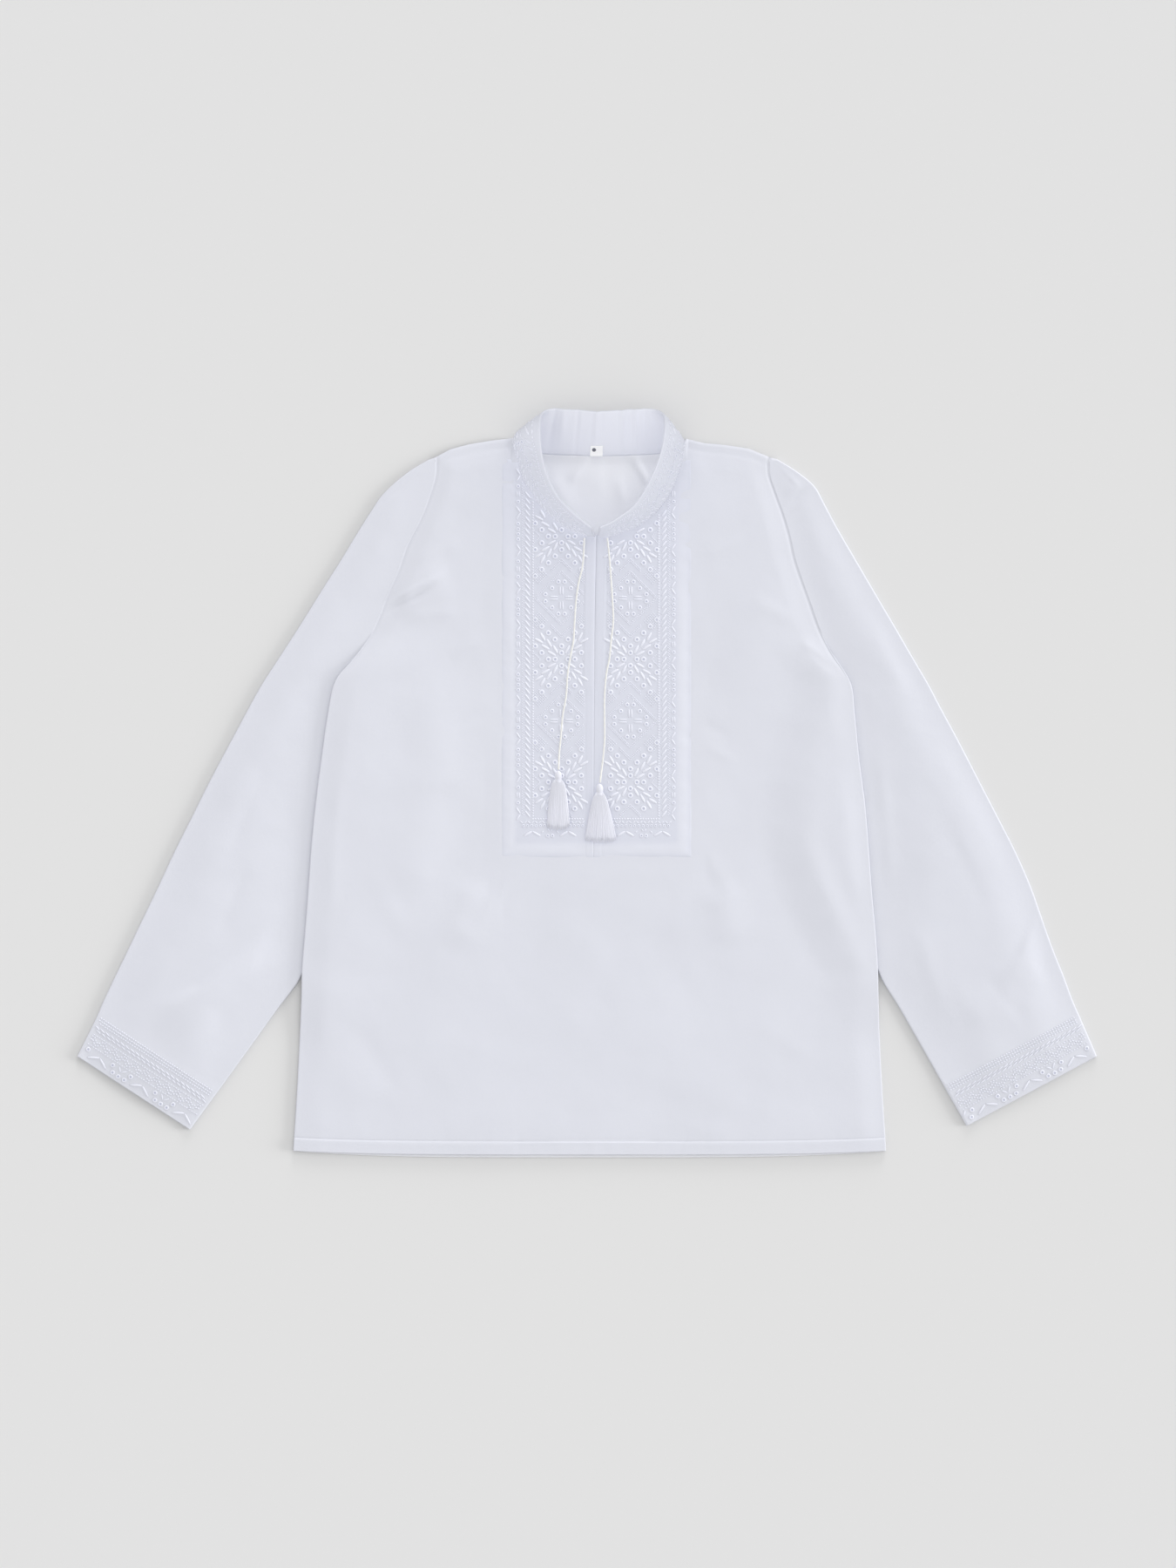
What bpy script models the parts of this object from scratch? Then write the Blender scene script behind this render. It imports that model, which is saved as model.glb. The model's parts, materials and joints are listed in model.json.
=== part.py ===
"""A boy's embroidered folk shirt (vyshyvanka), laid on its back with the sleeves spread.

Tables and sizes are in millimetres. +X is the wearer's left, +Y points past the collar and
+Z up from the surface. The origin lies under the middle of the shirt, on that surface.
"""

import math
from collections import namedtuple

import bpy
import numpy as np

MM = 0.001

# Walls and gaps
CLOTH = 1.0
SEAM_GAP = 0.3
LAYER = CLOTH + SEAM_GAP
FOLD_RADIUS = (2 * CLOTH + SEAM_GAP) / 2
FOLD_STEPS = 5

# How far the cloth stands off what lies under it
FRONT_EASE = 1.2
SLEEVE_EASE = 2.4
EDGE_ROUNDING = 22.0
BODY_LIFT = 2.9
LIFT_MARGIN = 6.0
LIFT_RAMP = 26.0
LIFT_START_Y = 125.0
LIFT_FULL_Y = 84.0
LIFT_END_Y = -158.0
LIFT_GONE_Y = -215.0

# Hems: the front's lowest point, how much further the back reaches, and the turned band
HEM_CORNER_Y = -295.0
FRONT_HEM_SAG = 3.0
BACK_HEM_SAG = 5.4

# Collar, a stiffened stand
COLLAR_STAND = 38.0
COLLAR_WALL = 2.0
COLLAR_ROWS = 6
NECK_CENTRE = (14.0, 245.0)
NECK_INSET = 1.0
NECK_SPREAD = 1.05

# Embroidered bib and its slit
BIB_OUTER_RIGHT = -69.5
BIB_OUTER_LEFT = 84.5
BIB_BOTTOM = -60.0
BIB_SHOULDER_Y = 262.0
BIB_SHOULDER_RISE = 1.0
BIB_ROWS = 9
SLIT_END_Y = 80.0
SLIT_HALF_WIDTH = 0.6

# Size label in the neck seam
LABEL_X = (2.0, 12.5)
LABEL_FOOT = 0.02
LABEL_REACH = 0.26
LABEL_COLUMNS = 3
LABEL_ROWS = 4

# Ties: their steps along and around, and how far from its head one begins to rise
TIE_DIAMETER = 1.6
TIE_STEP = 4.4
TIE_BEVEL_STEPS = 2
TIE_RISE_OVER = 14.0
CURVE_CUTS = 16

# Tassels: a head, and strands in layers whose sides open out by a power of the way along
HEAD_RADII = (3.3, 5.2, 2.7)
HEAD_SEGMENTS = 12
HEAD_RINGS = 8
STRANDS_ACROSS = 14
STRAND_LAYERS = 3
STRAND_LENGTH = 41.0
STRAND_START = 2.2
STRAND_FILL = 0.42
STRAND_STATIONS = (0.0, 0.3, 0.65, 1.0)
STRAND_SETTLED = 0.65
STRAND_CLEARANCE = 0.05
SPREAD_POWER = 0.8
ROOT_LAYER_RISE = 0.55
LAYER_OVERLAP = 1.5
LAYER_RISE = 0.35

# How much shorter a strand is: by its own turn, by its layer and towards the sides
RAGGED = 0.05
RAGGED_STEP = 2.4
RAGGED_LAYER_STEP = 1.7
LAYER_SHORTENING = 0.03
SIDE_SHORTENING = 0.06

# Where a sleeve's points lie between its fold and its seam, and the flat strip at the seam
SLEEVE_SHARES = (1.0, 0.93, 0.8, 0.6, 0.4, 0.2, 0.07, 0.0)
SEAM_ALLOWANCE = 2.0
ARMHOLE_GAP = 0.42

# Broad soft folds in the cloth: a ridge, or a trough where rise is negative, between two points
Fold = namedtuple("Fold", "from_x from_y to_x to_y half_width rise")
FOLDS = (
    Fold(-160, 140, -108, 172, 16, 1.3),
    Fold(-84, -74, -108, -138, 16, 1.4),
    Fold(102, -76, 122, -134, 16, 1.2),
    Fold(140, -40, 206, -170, 20, -0.7),
    Fold(-150, 20, -120, -170, 24, 0.7),
    Fold(118, 60, 150, 170, 20, 0.9),
    Fold(-40, -190, 60, -205, 26, 0.6),
    Fold(-300, -160, -344, -214, 14, 1.2),
    Fold(-250, 60, -330, -90, 20, 0.8),
    Fold(268, 60, 340, -80, 20, 0.9),
    Fold(300, -190, 352, -170, 14, 1.0),
)

# Sections of a sleeve from the shoulder's tip to the cuff. Each runs from the fold along the
# outer edge to the seam; past the armpit that seam lies `tuck` further in, under the body.
Section = namedtuple("Section", "fold_x fold_y seam_x seam_y tuck")
ARM_RIGHT = (
    Section(-127.5, 260.0, -122.0, 262.0, 0),
    Section(-144.0, 250.0, -122.5, 246.5, 0),
    Section(-163.0, 233.5, -128.0, 228.0, 0),
    Section(-174.0, 218.0, -135.0, 210.5, 0),
    Section(-185.0, 200.5, -145.0, 191.0, 0),
    Section(-198.0, 179.0, -152.0, 171.0, 0),
    Section(-212.0, 157.0, -160.0, 153.0, 0),
    Section(-225.0, 136.0, -167.0, 135.0, 0),
    Section(-238.0, 115.5, -175.0, 118.0, 0),
    Section(-250.0, 97.0, -188.5, 99.5, 0),
    Section(-261.0, 80.0, -202.5, 82.0, 0),
    Section(-270.0, 64.0, -207.0, 67.0, 8),
    Section(-285.0, 36.0, -211.5, 38.0, 20),
    Section(-302.0, 4.0, -216.0, 0.0, 31),
    Section(-317.0, -26.0, -219.5, -36.0, 35),
    Section(-331.0, -54.0, -222.5, -68.0, 34),
    Section(-345.0, -84.0, -225.0, -98.0, 28),
    Section(-358.0, -111.0, -227.0, -127.0, 16),
    Section(-369.0, -134.0, -229.5, -154.0, 0),
    Section(-380.0, -157.0, -250.0, -182.5, 0),
    Section(-389.0, -176.0, -274.0, -216.0, 0),
    Section(-395.5, -191.0, -299.0, -250.5, 0),
    Section(-409.5, -219.0, -319.0, -278.0, 0),
)
ARM_LEFT = (
    Section(152.5, 260.5, 147.0, 262.0, 0),
    Section(168.0, 251.0, 147.0, 248.0, 0),
    Section(182.5, 239.0, 152.5, 231.5, 0),
    Section(191.0, 224.0, 158.5, 215.0, 0),
    Section(200.0, 207.0, 163.5, 198.0, 0),
    Section(211.0, 188.0, 167.5, 180.0, 0),
    Section(223.5, 166.5, 173.5, 162.0, 0),
    Section(237.0, 143.5, 180.5, 142.5, 0),
    Section(249.0, 123.0, 187.5, 123.0, 0),
    Section(260.0, 104.0, 196.5, 105.0, 0),
    Section(274.0, 80.0, 211.5, 81.0, 0),
    Section(284.0, 61.0, 214.0, 62.0, 8),
    Section(298.0, 35.0, 217.0, 33.0, 20),
    Section(314.0, 4.0, 220.5, 0.0, 31),
    Section(329.5, -26.0, 224.5, -34.0, 35),
    Section(344.0, -54.5, 227.5, -66.0, 34),
    Section(356.5, -83.0, 229.5, -95.0, 27),
    Section(366.0, -110.0, 232.0, -122.0, 15),
    Section(374.0, -132.5, 234.0, -151.0, 0),
    Section(383.0, -155.0, 252.0, -182.0, 0),
    Section(390.0, -174.0, 270.0, -213.5, 0),
    Section(397.0, -190.0, 287.0, -243.5, 0),
    Section(409.5, -219.0, 305.0, -275.0, 0),
)
ARMPIT = 10

# The body's side edges from the hem up to the armpit
Side = namedtuple("Side", "right_x left_x y")
SIDES = (
    Side(-236.0, 240.0, HEM_CORNER_Y),
    Side(-235.5, 239.5, -284.5),
    Side(-233.0, 237.0, -245.0),
    Side(-231.0, 235.0, -205.0),
    Side(-229.5, 234.0, -172.0),
    Side(-229.0, 233.5, -148.0),
    Side(-226.5, 231.5, -118.0),
    Side(-224.0, 228.5, -85.0),
    Side(-221.5, 226.0, -50.0),
    Side(-218.0, 223.0, -15.0),
    Side(-213.5, 218.5, 20.0),
    Side(-208.5, 215.0, 55.0),
)

# The shoulder's edge from its tip to the neck
SHOULDER_RIGHT = ((-122.0, 262.0), (-110.0, 268.5), (-95.0, 272.5), (-77.0, 275.5), (-60.0, 277.5))
SHOULDER_LEFT = ((147.0, 262.0), (130.0, 269.0), (110.5, 272.0), (94.0, 273.5), (79.5, 277.0))
SHOULDER_HEM_RIGHT = -70.0
SHOULDER_HEM_LEFT = 88.0

# Where a panel's lines of points stand between its side and the neck, closest by the side
SIDE_SHARES = (0.0, 0.08, 0.17, 0.27, 0.38, 0.52, 0.75, 1.0)

# The collar from its right end, round the back of the neck, to its left end: the neck seam
# at its foot, its top edge, how far it bows out halfway up, and what its foot stands on
Stand = namedtuple("Stand", "foot_x foot_y top_x top_y bow on")
COLLAR_RIGHT = (
    Stand(6.5, 198.5, 4.0, 204.0, 1.0, "bib"),
    Stand(-3.0, 199.5, -4.0, 210.0, 1.0, "bib"),
    Stand(-17.5, 206.0, -12.0, 217.0, 1.5, "bib"),
    Stand(-32.0, 216.5, -23.0, 228.5, 1.5, "bib"),
    Stand(-43.0, 230.5, -30.0, 241.0, 1.5, "bib"),
    Stand(-51.5, 244.5, -34.5, 253.0, 2.0, "bib"),
    Stand(-55.5, 258.5, -37.0, 265.5, 2.5, "bib"),
    Stand(-57.5, 270.5, -38.0, 278.5, 8.0, "bib"),
)
COLLAR_BACK = (
    Stand(-55.5, 270.0, -38.0, 288.5, 8.5, "front"),
    Stand(-49.5, 267.0, -36.5, 295.5, 6.0, "back"),
    Stand(-42.0, 265.5, -32.0, 299.0, 3.0, "back"),
    Stand(-32.0, 264.5, -26.0, 300.0, 1.0, "back"),
    Stand(-20.5, 264.0, -17.0, 299.5, 0.0, "back"),
    Stand(-7.0, 263.5, -4.0, 298.5, 0.0, "back"),
    Stand(7.0, 263.0, 9.0, 297.5, 0.0, "back"),
    Stand(26.5, 263.5, 25.0, 298.5, 0.0, "back"),
    Stand(45.0, 264.0, 42.5, 299.5, 0.0, "back"),
    Stand(58.0, 265.0, 53.0, 299.5, 1.5, "back"),
    Stand(68.0, 267.0, 60.5, 296.0, 3.0, "back"),
    Stand(74.0, 270.5, 62.5, 290.0, 4.0, "front"),
)
COLLAR_LEFT = (
    Stand(77.5, 272.0, 62.5, 281.5, 4.0, "bib"),
    Stand(76.5, 262.0, 60.5, 269.0, 3.0, "bib"),
    Stand(74.0, 250.5, 57.0, 257.0, 2.0, "bib"),
    Stand(68.5, 237.0, 52.0, 245.0, 2.0, "bib"),
    Stand(59.5, 222.5, 46.0, 233.5, 1.5, "bib"),
    Stand(46.0, 210.5, 37.5, 221.5, 1.5, "bib"),
    Stand(31.5, 203.0, 27.0, 213.5, 1.0, "bib"),
    Stand(18.0, 199.0, 18.0, 208.0, 1.0, "bib"),
    Stand(8.5, 198.5, 10.0, 204.5, 1.0, "bib"),
)

# The slit's middle line, which goes on below it as the bib's centre seam
SLIT_LINE = ((5.0, BIB_BOTTOM), (5.5, SLIT_END_Y), (6.3, 140.0), (7.5, 206.0))

# The ties lie in loose curves from under the collar to their tassels' heads
TIE_RIGHT = (
    (-2.2, 197.2), (-3.5, 176.0), (-7.0, 160.0), (-9.0, 145.0), (-10.0, 130.0), (-11.0, 114.5),
    (-13.5, 101.0), (-15.5, 88.5), (-17.0, 69.0), (-19.5, 55.0), (-21.0, 38.0), (-22.3, 25.0),
    (-22.9, 11.2),
)
TIE_LEFT = (
    (16.2, 197.2), (18.0, 180.0), (19.5, 160.0), (20.5, 145.0), (21.0, 130.0), (19.5, 116.5),
    (18.0, 101.0), (15.5, 88.0), (14.0, 69.5), (14.0, 50.0), (14.0, 34.5), (12.5, 18.0),
    (10.3, 0.7),
)
Tassel = namedtuple("Tassel", "head_x head_y lean root_width tip_width")
TASSEL_RIGHT = Tassel(-23.2, 5.7, 0.2, 4.4, 19.0)
TASSEL_LEFT = Tassel(10.0, -4.8, 0.8, 4.6, 24.0)

# Heights of the surfaces that pieces rest on
LEVELS = {
    "back": CLOTH,
    "front": LAYER + CLOTH + FRONT_EASE,
    "bib": LAYER + CLOTH + FRONT_EASE + LAYER,
}

# Finishes: colour, roughness, metallic
LINEN = (0.80, 0.82, 0.90)
FINISHES = {
    "linen": (LINEN, 0.86, 0.0),
    "embroidered_linen": ((0.82, 0.84, 0.92), 0.80, 0.0),
    "label_tape": ((0.86, 0.86, 0.86), 0.70, 0.0),
    "tie_cord": ((0.84, 0.83, 0.76), 0.75, 0.0),
    "tassel_yarn": ((0.68, 0.67, 0.70), 0.70, 0.0),
}


def smoothstep(value):
    value = np.clip(value, 0.0, 1.0)
    return value * value * (3.0 - 2.0 * value)


def fold_rise(x, y):
    """Sum of the folds' heights: each a bell across its line that fades at the line's ends."""
    rise = np.zeros(np.shape(x))
    for fold in FOLDS:
        start = np.array([fold.from_x, fold.from_y], float)
        along = np.array([fold.to_x, fold.to_y], float) - start
        length = np.hypot(*along)
        along /= length
        run = (x - start[0]) * along[0] + (y - start[1]) * along[1]
        off = (x - start[0]) * along[1] - (y - start[1]) * along[0]
        fade = smoothstep(run / (length / 3)) * smoothstep((length - run) / (length / 3))
        rise = rise + fold.rise * fade * np.exp(-((off / fold.half_width) ** 2))
    return rise


def body_edges():
    """The body's right and left edge points, row by row from the hem to the shoulder's tip."""
    right = [(side.right_x, side.y) for side in SIDES]
    left = [(side.left_x, side.y) for side in SIDES]
    right += [(row.seam_x, row.seam_y) for row in reversed(ARM_RIGHT[: ARMPIT + 1])]
    left += [(row.seam_x, row.seam_y) for row in reversed(ARM_LEFT[: ARMPIT + 1])]
    return np.array(right), np.array(left)


def tucked_lift(x, y):
    """How far the body is raised by the sleeves' undersides, which lie tucked beneath it."""
    right, left = body_edges()
    along = smoothstep((LIFT_START_Y - y) / (LIFT_START_Y - LIFT_FULL_Y))
    along = along * smoothstep((y - LIFT_GONE_Y) / (LIFT_END_Y - LIFT_GONE_Y))
    lift = np.zeros(np.shape(x))
    for edge, arm, inward in ((right, ARM_RIGHT, 1), (left, ARM_LEFT, -1)):
        depth = inward * (x - np.interp(y, edge[:, 1], edge[:, 0]))
        rows = arm[::-1]
        tuck = np.interp(y, [row.seam_y for row in rows], [row.tuck for row in rows])
        across = 1.0 - smoothstep((depth - tuck - LIFT_MARGIN) / LIFT_RAMP)
        lift = np.maximum(lift, BODY_LIFT * along * across)
    return lift


def coons(bottom, top, right, left):
    """A grid between four edges: rows from bottom to top, columns from right edge to left."""
    u = ((bottom[:, 0] - bottom[0, 0]) / (bottom[-1, 0] - bottom[0, 0]))[None, :, None]
    height = (right[:, 1] + left[:, 1]) / 2
    v = ((height - height[0]) / (height[-1] - height[0]))[:, None, None]
    between = (1 - v) * bottom[None] + v * top[None] + (1 - u) * right[:, None] + u * left[:, None]
    corners = (1 - u) * ((1 - v) * right[0] + v * right[-1]) + u * ((1 - v) * left[0] + v * left[-1])
    return between - corners


def inset(points, distance):
    """Points moved towards the middle of the neck."""
    points = np.asarray(points, float)
    inward = np.array(NECK_CENTRE) - points
    return points + distance * inward / np.linalg.norm(inward, axis=1, keepdims=True)


def feet(stands):
    return [(stand.foot_x, stand.foot_y) for stand in stands]


def shoulder_columns(shoulder, corner_x, neck_hem_x):
    """Rows of hem x, top x and top y for the lines of points between the side and the neck."""
    x, y = np.array(shoulder).T
    share = np.array(SIDE_SHARES)
    top_x = x[0] + share * (x[-1] - x[0])
    order = np.argsort(x)
    top_y = np.interp(top_x, x[order], y[order])
    return np.column_stack([corner_x + share * (neck_hem_x - corner_x), top_x, top_y])


def panel_edges(neck, sag):
    """The four edges of the front or the back, whose neck edge is given."""
    right, left = body_edges()
    columns = np.concatenate([
        shoulder_columns(SHOULDER_RIGHT, right[0, 0], SHOULDER_HEM_RIGHT),
        np.column_stack([neck[:, 0] * NECK_SPREAD, neck]),
        shoulder_columns(SHOULDER_LEFT, left[0, 0], SHOULDER_HEM_LEFT)[::-1],
    ])
    across = (columns[:, 0] - columns[0, 0]) / (columns[-1, 0] - columns[0, 0])
    hem_y = HEM_CORNER_Y - sag * (1 - (2 * across - 1) ** 4)
    return np.stack([columns[:, 0], hem_y], axis=1), columns[:, 1:], right, left


def make_material(name):
    colour, roughness, metallic = FINISHES[name]
    material = bpy.data.materials.new(name)
    material.use_nodes = True
    shader = material.node_tree.nodes["Principled BSDF"]
    shader.inputs["Base Color"].default_value = (*colour, 1.0)
    shader.inputs["Roughness"].default_value = roughness
    shader.inputs["Metallic"].default_value = metallic
    return material


def add_mesh(name, points, faces, collection, material=None):
    mesh = bpy.data.meshes.new(name)
    mesh.from_pydata([tuple(point) for point in np.asarray(points, float) * MM], [], faces)
    obj = bpy.data.objects.new(name, mesh)
    collection.objects.link(obj)
    if material:
        mesh.materials.append(material)
    return obj


def grid_faces(rows, columns, start=0):
    faces = []
    for row in range(rows - 1):
        for i in range(start + row * columns, start + row * columns + columns - 1):
            faces.append((i, i + 1, i + 1 + columns, i + columns))
    return faces


def add_wall(obj, thickness, offset):
    """Gives an open surface its thickness: below it at -1, above it at 1, on both sides at 0."""
    solidify = obj.modifiers.new("wall", "SOLIDIFY")
    solidify.thickness = thickness * MM
    solidify.offset = offset
    solidify.use_even_offset = True
    return obj


def add_sheet(name, grid, collection, material, thickness, offset):
    rows, columns = grid.shape[:2]
    obj = add_mesh(name, grid.reshape(-1, 3), grid_faces(rows, columns), collection, material)
    return add_wall(obj, thickness, offset)


def add_back(collection, material):
    """The back lies on the surface, raised only where the sleeves are tucked under it."""
    neck = inset(feet(COLLAR_BACK[1:-1:2]), -NECK_INSET)
    plan = coons(*panel_edges(neck, BACK_HEM_SAG))
    height = tucked_lift(plan[..., 0], plan[..., 1])
    grid = np.concatenate([plan, height[..., None]], axis=2)
    return add_sheet("back", grid, collection, material, CLOTH, 1)


def add_front(collection, cutters, material):
    """The front lies over the back and is slit down from the neck."""
    neck = inset(feet(COLLAR_RIGHT[::-1]) + feet(COLLAR_LEFT[::-1]), NECK_INSET)
    bottom, top, right, left = panel_edges(neck, FRONT_HEM_SAG)
    plan = coons(bottom, top, right, left)
    x, y = plan[..., 0], plan[..., 1]
    to_side = np.minimum(
        np.linalg.norm(plan - right[:, None], axis=2), np.linalg.norm(plan - left[:, None], axis=2)
    )
    to_hem = np.linalg.norm(plan - bottom[None], axis=2)
    on_shoulder = np.ones(len(bottom), bool)
    on_shoulder[len(SIDE_SHARES) : -len(SIDE_SHARES)] = False
    to_shoulder = np.linalg.norm(plan - top[None], axis=2)
    to_shoulder = np.where(on_shoulder[None, :], to_shoulder, EDGE_ROUNDING)
    edge = smoothstep(np.minimum(np.minimum(to_side, to_hem), to_shoulder) / EDGE_ROUNDING)
    height = LAYER + CLOTH + tucked_lift(x, y) + edge * (FRONT_EASE + fold_rise(x, y))
    grid = np.concatenate([plan, height[..., None]], axis=2)
    front = add_sheet("front", grid, collection, material, CLOTH, -1)

    (end_x, end_y), (top_x, top_y) = SLIT_LINE[1], SLIT_LINE[-1]
    outline = [
        (end_x - SLIT_HALF_WIDTH / 2, end_y),
        (end_x + SLIT_HALF_WIDTH / 2, end_y),
        (top_x + SLIT_HALF_WIDTH, top_y),
        (top_x - SLIT_HALF_WIDTH, top_y),
    ]
    low, high = LAYER, 2 * LEVELS["front"]
    corners = [(x, y, low) for x, y in outline] + [(x, y, high) for x, y in outline]
    sides = [(i, (i + 1) % 4, (i + 1) % 4 + 4, i + 4) for i in range(4)]
    cutter = add_mesh("slit_cutter", corners, [(3, 2, 1, 0), (4, 5, 6, 7), *sides], cutters)
    cutter.hide_render = True
    cutter.display_type = "WIRE"
    slit = front.modifiers.new("slit", "BOOLEAN")
    slit.operation = "DIFFERENCE"
    slit.object = cutter
    return front


def add_sleeve(name, arm, side, collection, material):
    """A flattened tube, open at the cuff and along the armhole, folded along its outer edge.

    side is -1 on the wearer's right and 1 on the left. A section's points run over the upper
    layer to the fold and back along the lower one; past the armpit a second fold closes it.
    """
    turn = np.linspace(0, math.pi, FOLD_STEPS + 1)[1:-1]
    sections, closings = [], []
    for index, row in enumerate(arm):
        fold = np.array([row.fold_x, row.fold_y])
        seam = np.array([row.seam_x, row.seam_y])
        end = seam - [side * row.tuck, 0]
        across = (end - fold) / np.linalg.norm(end - fold)
        width = np.linalg.norm(end - fold)
        closed = index >= ARMPIT
        reach = width - (FOLD_RADIUS if closed else ARMHOLE_GAP)
        visible = reach - max(row.tuck, SEAM_ALLOWANCE)
        shown = FOLD_RADIUS + np.array(SLEEVE_SHARES) * (visible - FOLD_RADIUS)
        run = np.concatenate([[reach, (reach + visible) / 2], shown])
        place = fold + run[:, None] * across
        ease = SLEEVE_EASE + fold_rise(place[:, 0], place[:, 1])
        ease = ease * smoothstep((run - FOLD_RADIUS) / EDGE_ROUNDING)
        ease = ease * smoothstep((visible - run) / EDGE_ROUNDING)
        upper = np.column_stack([place, 2 * FOLD_RADIUS + ease])
        bend = FOLD_RADIUS * (1 - np.sin(turn))
        around = np.column_stack([fold + bend[:, None] * across, FOLD_RADIUS * (1 + np.cos(turn))])
        lower = np.column_stack([place[::-1], np.zeros(len(place))])
        sections.append(np.concatenate([upper, around, lower]))
        if closed:
            bend = width - FOLD_RADIUS * (1 - np.sin(turn))
            closings.append(
                np.column_stack([fold + bend[:, None] * across, FOLD_RADIUS * (1 - np.cos(turn))])
            )
    ring = len(sections[0])
    points = np.concatenate([*sections, *closings])
    faces = grid_faces(len(sections), ring)
    first = len(sections) * ring
    step = len(turn)
    for k in range(len(closings) - 1):
        here, there = (ARMPIT + k) * ring, (ARMPIT + k + 1) * ring
        near = [here + ring - 1, *range(first + k * step, first + (k + 1) * step), here]
        far = [there + ring - 1, *range(first + (k + 1) * step, first + (k + 2) * step), there]
        faces += [(near[i], near[i + 1], far[i + 1], far[i]) for i in range(step + 1)]
    if side > 0:
        faces = [face[::-1] for face in faces]
    obj = add_mesh(name, points, faces, collection, material)
    return add_wall(obj, CLOTH, -1)


def collar_rows():
    """Each station's foot, top and outward bow in space; the stand's height gives the top's."""
    feet_xyz, tops, bows = [], [], []
    for stand in (*COLLAR_RIGHT, *COLLAR_BACK, *COLLAR_LEFT):
        foot = np.array([stand.foot_x, stand.foot_y])
        top = np.array([stand.top_x, stand.top_y])
        reach = np.linalg.norm(top - foot)
        foot_z = LEVELS[stand.on] + SEAM_GAP + COLLAR_WALL / 2 * reach / COLLAR_STAND
        rise = math.sqrt(COLLAR_STAND**2 - reach**2)
        outward = foot - NECK_CENTRE
        outward = outward / np.linalg.norm(outward)
        feet_xyz.append((*foot, foot_z))
        tops.append((*top, foot_z + rise))
        bows.append((*(outward * stand.bow), 0.0))
    return np.array(feet_xyz), np.array(tops), np.array(bows)


def between_rows(rows):
    """The rows with one more between each two, on a smooth curve through them."""
    padded = np.concatenate([2 * rows[:1] - rows[1:2], rows, 2 * rows[-1:] - rows[-2:-1]])
    middle = (9 * (padded[1:-2] + padded[2:-1]) - padded[:-3] - padded[3:]) / 16
    result = np.empty((2 * len(rows) - 1, rows.shape[1]))
    result[0::2] = rows
    result[1::2] = middle
    return result


def collar_surface(foot, top, bow, share):
    """Points of the stand at shares of its height, bowed out in between."""
    share = np.asarray(share)[:, None, None]
    return (1 - share) * foot[None] + share * top[None] + 4 * share * (1 - share) * bow[None]


def add_collar(collection, material):
    foot, top, bow = (between_rows(rows) for rows in collar_rows())
    grid = collar_surface(foot, top, bow, np.linspace(0, 1, COLLAR_ROWS))
    return add_sheet("collar", grid, collection, material, COLLAR_WALL, 0)


def add_label(collection, material):
    """The size label lies on the collar's inner face, its lower edge in the neck seam."""
    foot, top, bow = collar_rows()
    x = np.linspace(*LABEL_X, LABEL_COLUMNS)
    at_back = slice(len(COLLAR_RIGHT) + 2, len(COLLAR_RIGHT) + len(COLLAR_BACK) - 2)
    place = foot[at_back, 0]
    foot, top, bow = (
        np.column_stack([np.interp(x, place, rows[at_back, axis]) for axis in range(3)])
        for rows in (foot, top, bow)
    )
    face = collar_surface(foot, top, bow, np.linspace(LABEL_FOOT, LABEL_REACH, LABEL_ROWS))
    slope = (top - foot) / np.linalg.norm(top - foot, axis=1, keepdims=True)
    upright = np.cross([1.0, 0.0, 0.0], slope)
    grid = face + upright * (COLLAR_WALL / 2 + SEAM_GAP)
    return add_sheet("size_label", grid, collection, material, CLOTH, 1)


def add_bib(name, side, collection, material):
    """One half of the bib, flat on the front from the neck down to its straight lower edge."""
    outer = BIB_OUTER_RIGHT if side < 0 else BIB_OUTER_LEFT
    stands = COLLAR_RIGHT[-2::-1] if side < 0 else COLLAR_LEFT[1:]
    neck = inset(feet(stands), NECK_INSET)
    halfway = ((outer + neck[0, 0]) / 2, BIB_SHOULDER_Y + BIB_SHOULDER_RISE)
    near_shoulder = [(outer, BIB_SHOULDER_Y), halfway]
    slit_top = neck[-1].copy()
    slit_x, slit_y = np.array(SLIT_LINE).T
    slit_top[0] = np.interp(slit_top[1], slit_y, slit_x) + side * SLIT_HALF_WIDTH
    top = np.array([*near_shoulder, *neck[:-1], slit_top])
    bottom = np.column_stack([top[:, 0], np.full(len(top), BIB_BOTTOM)])
    bottom[-1, 0] = slit_x[0] + side * SEAM_GAP / 2
    share = np.linspace(0, 1, BIB_ROWS)
    inner_y = BIB_BOTTOM + share * (slit_top[1] - BIB_BOTTOM)
    opening = SEAM_GAP / 2 + (SLIT_HALF_WIDTH - SEAM_GAP / 2) * smoothstep(
        (inner_y - SLIT_END_Y) / (slit_top[1] - SLIT_END_Y)
    )
    inner = np.column_stack([np.interp(inner_y, slit_y, slit_x) + side * opening, inner_y])
    edge_y = BIB_BOTTOM + share * (BIB_SHOULDER_Y - BIB_BOTTOM)
    edge = np.column_stack([np.full(BIB_ROWS, outer), edge_y])
    if side > 0:
        top, bottom, inner, edge = top[::-1], bottom[::-1], edge, inner
    plan = coons(bottom, top, edge, inner)
    height = np.full(plan.shape[:2], LEVELS["bib"])
    grid = np.concatenate([plan, height[..., None]], axis=2)
    return add_sheet(name, grid, collection, material, CLOTH, -1)


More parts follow.
